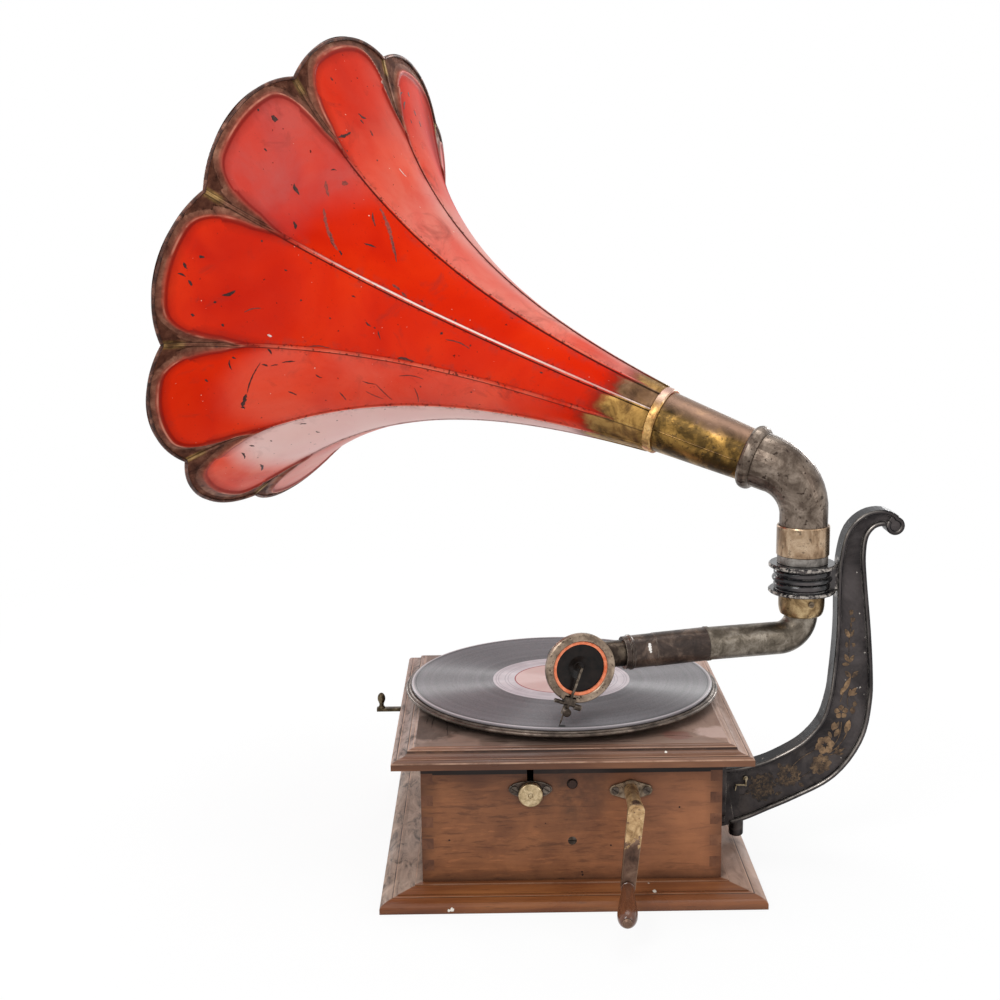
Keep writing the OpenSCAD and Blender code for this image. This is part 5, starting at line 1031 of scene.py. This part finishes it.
def build_cracks():
    """Thin dark slivers let into the top of the board."""
    rng = random.Random(11)
    verts, faces = [], []
    for a, b, c, width in CRACKS:
        base, n = len(verts), 12
        size = math.hypot(c[0] - a[0], c[1] - a[1])
        nx, ny = -(c[1] - a[1]) / size, (c[0] - a[0]) / size
        for i in range(n + 1):
            q = i / n
            x, y = (((1 - q) ** 2) * u + 2 * q * (1 - q) * v + q * q * w for u, v, w in zip(a, b, c))
            half = width / 2 * (0.15 + math.sin(math.pi * q)) * rng.uniform(0.4, 1)
            shift = rng.uniform(-0.3, 0.3) * width
            for side in (1, -1):
                off = shift + side * half
                for z in (BOARD_Z + 0.00006, BOARD_Z - 0.0003):
                    verts.append(((x + nx * off) * MM, (y + ny * off) * MM, z))
        faces += ribbon_faces(base, n)
    ob = mesh_object("board_cracks", verts, faces, mats["crack"], "case", smooth=False)


build_cracks()

# -------------------- rounded rims of the bracket

# the cast bracket's middle line: x, z and width in mm
STATIONS = [(120, 49, 50), (138, 52, 46), (156, 57.5, 41.5), (177, 66, 40), (203, 81, 41), (220.4, 103.5, 38.5),
            (227, 129, 35.2), (228.4, 152, 32.4), (228, 188.8, 27.2), (225.6, 228, 23.2), (225.6, 250, 20.2),
            (229, 267, 17.5), (238, 277, 14.6), (249.4, 279.4, 12.8), (258, 275.4, 12)]


def station(u):
    """Smooth curve through the stations: x, z and width in mm."""
    last = len(STATIONS) - 1
    i = min(int(u), last - 1)
    t = u - i
    a, b, c, d = (STATIONS[max(i - 1, 0)], STATIONS[i], STATIONS[i + 1], STATIONS[min(i + 2, last)])
    return [0.5 * (2 * q + (r - p) * t + (2 * p - 5 * q + 4 * r - s) * t * t + (3 * q - p - 3 * r + s) * t ** 3)
            for p, q, r, s in zip(a, b, c, d)]


def rim_line(sign, edge, u0, u1, steps):
    points = []
    for i in range(steps + 1):
        u = u0 + (u1 - u0) * i / steps
        p, q, o = station(u), station(min(u + 0.02, 14)), station(max(u - 0.02, 0))
        dx, dz = q[0] - o[0], q[1] - o[1]
        w = (p[2] / 2 - edge) / math.hypot(dx, dz)
        points.append((p[0] - sign * w * dz, p[1] + sign * w * dx))
    return points


ROD_R, ROD_INSET, ROD_STEPS = 1.75, 1.8, 110
SCROLL_X, SCROLL_Z, SCROLL_R = 258, 273, 5.6
for side, y in (("front", -55.6), ("back", -40.4)):
    outer = rim_line(1, ROD_INSET, 0.55, 13.6, ROD_STEPS)
    outer += [(SCROLL_X + SCROLL_R * math.cos(math.radians(a)), SCROLL_Z + SCROLL_R * math.sin(math.radians(a)))
              for a in range(80, -221, -15)]
    inner = rim_line(-1, ROD_INSET, 0.55, 13.2, ROD_STEPS)
    for name, points in (("outer", outer), ("inner", inner)):
        rim = tube(f"bracket_rim_{side}_{name}", [(x * MM, y * MM, z * MM) for x, z in points], ROD_R * MM,
                   mats["bead"], "case", sides=16)


# -------------------- stage, light and camera

FLOOR_HALF, FLOOR_DROP = 30, 0.0005
FLOOR_WHITE, GLOW_NEAR = 0.93, 0.9

g = Graph("floor_white")
diffuse = g.add("BsdfDiffuse", Color=(FLOOR_WHITE, FLOOR_WHITE, FLOOR_WHITE, 1))
glow = g.add("Emission", Color=(1, 1, 1, 1), Strength=1)
far = g.add("VectorMath", "Value", {"operation": "LENGTH"}, i0=g.pos)
floor_look = g.show(g.add("MixShader", i0=g.seen() * g.map(far, 0.45, 1.1, GLOW_NEAR, 1), i1=diffuse, i2=glow))
floor_data = bpy.data.meshes.new("floor")
floor_data.from_pydata([(FLOOR_HALF * x, FLOOR_HALF * y, 0) for x, y in ((-1, -1), (1, -1), (1, 1), (-1, 1))], [],
                       [(0, 1, 2, 3)])
floor_data.materials.append(floor_look)
floor = add_object("floor", floor_data)
floor.location.z = -FLOOR_DROP

g = Graph("studio", world=True)
soft = g.add("Background", Color=(0.96, 0.98, 1, 1), Strength=0.58)
white = g.add("Background", Color=(1, 1, 1, 1), Strength=1)
bpy.context.scene.world = g.show(g.add("MixShader", i0=g.seen(), i1=soft, i2=white))


def area(name, place, target, size, power):
    data = bpy.data.lights.new(name, "AREA")
    data.shape = "RECTANGLE"
    data.size, data.size_y = size
    data.energy = power
    ob = add_object(name, data)
    ob.location = place
    ob.rotation_euler = (Vector(target) - Vector(place)).to_track_quat("-Z", "Y").to_euler()
    ob.visible_camera = False


area("key", (-1.3, -1.9, 2.1), (0, 0, 0.3), (1.2, 0.9), 30)
area("fill", (1.9, -1.3, 1.2), (0, 0, 0.25), (1.2, 1.6), 11)
area("top", (0.1, 0.5, 2.5), (0, 0, 0.2), (1.8, 1.2), 16)
area("back_left", (-1.15, 1.9, 0.8), (0, 0, 0.13), (0.6, 0.6), 10)
area("back_right", (1.25, 1.9, 0.8), (0, 0, 0.13), (0.6, 0.6), 12)

LENS, EYE = 54.3, (-0.0575, -1.2109, 0.5194)
camera_data = bpy.data.cameras.new("camera")
camera_data.lens = LENS
camera_data.sensor_width = 36
camera_data.clip_end = 100
camera = add_object("camera", camera_data)
right = Vector((0.99991, -0.00715, -0.01129))
up = Vector((0.01244, 0.18853, 0.98199))
back = -Vector((0.0049, 0.98204, -0.1886))
camera.matrix_world = Matrix((*zip(right, up, back, EYE), (0, 0, 0, 1)))
bpy.context.scene.camera = camera
bpy.context.scene.view_settings.view_transform = "Standard"
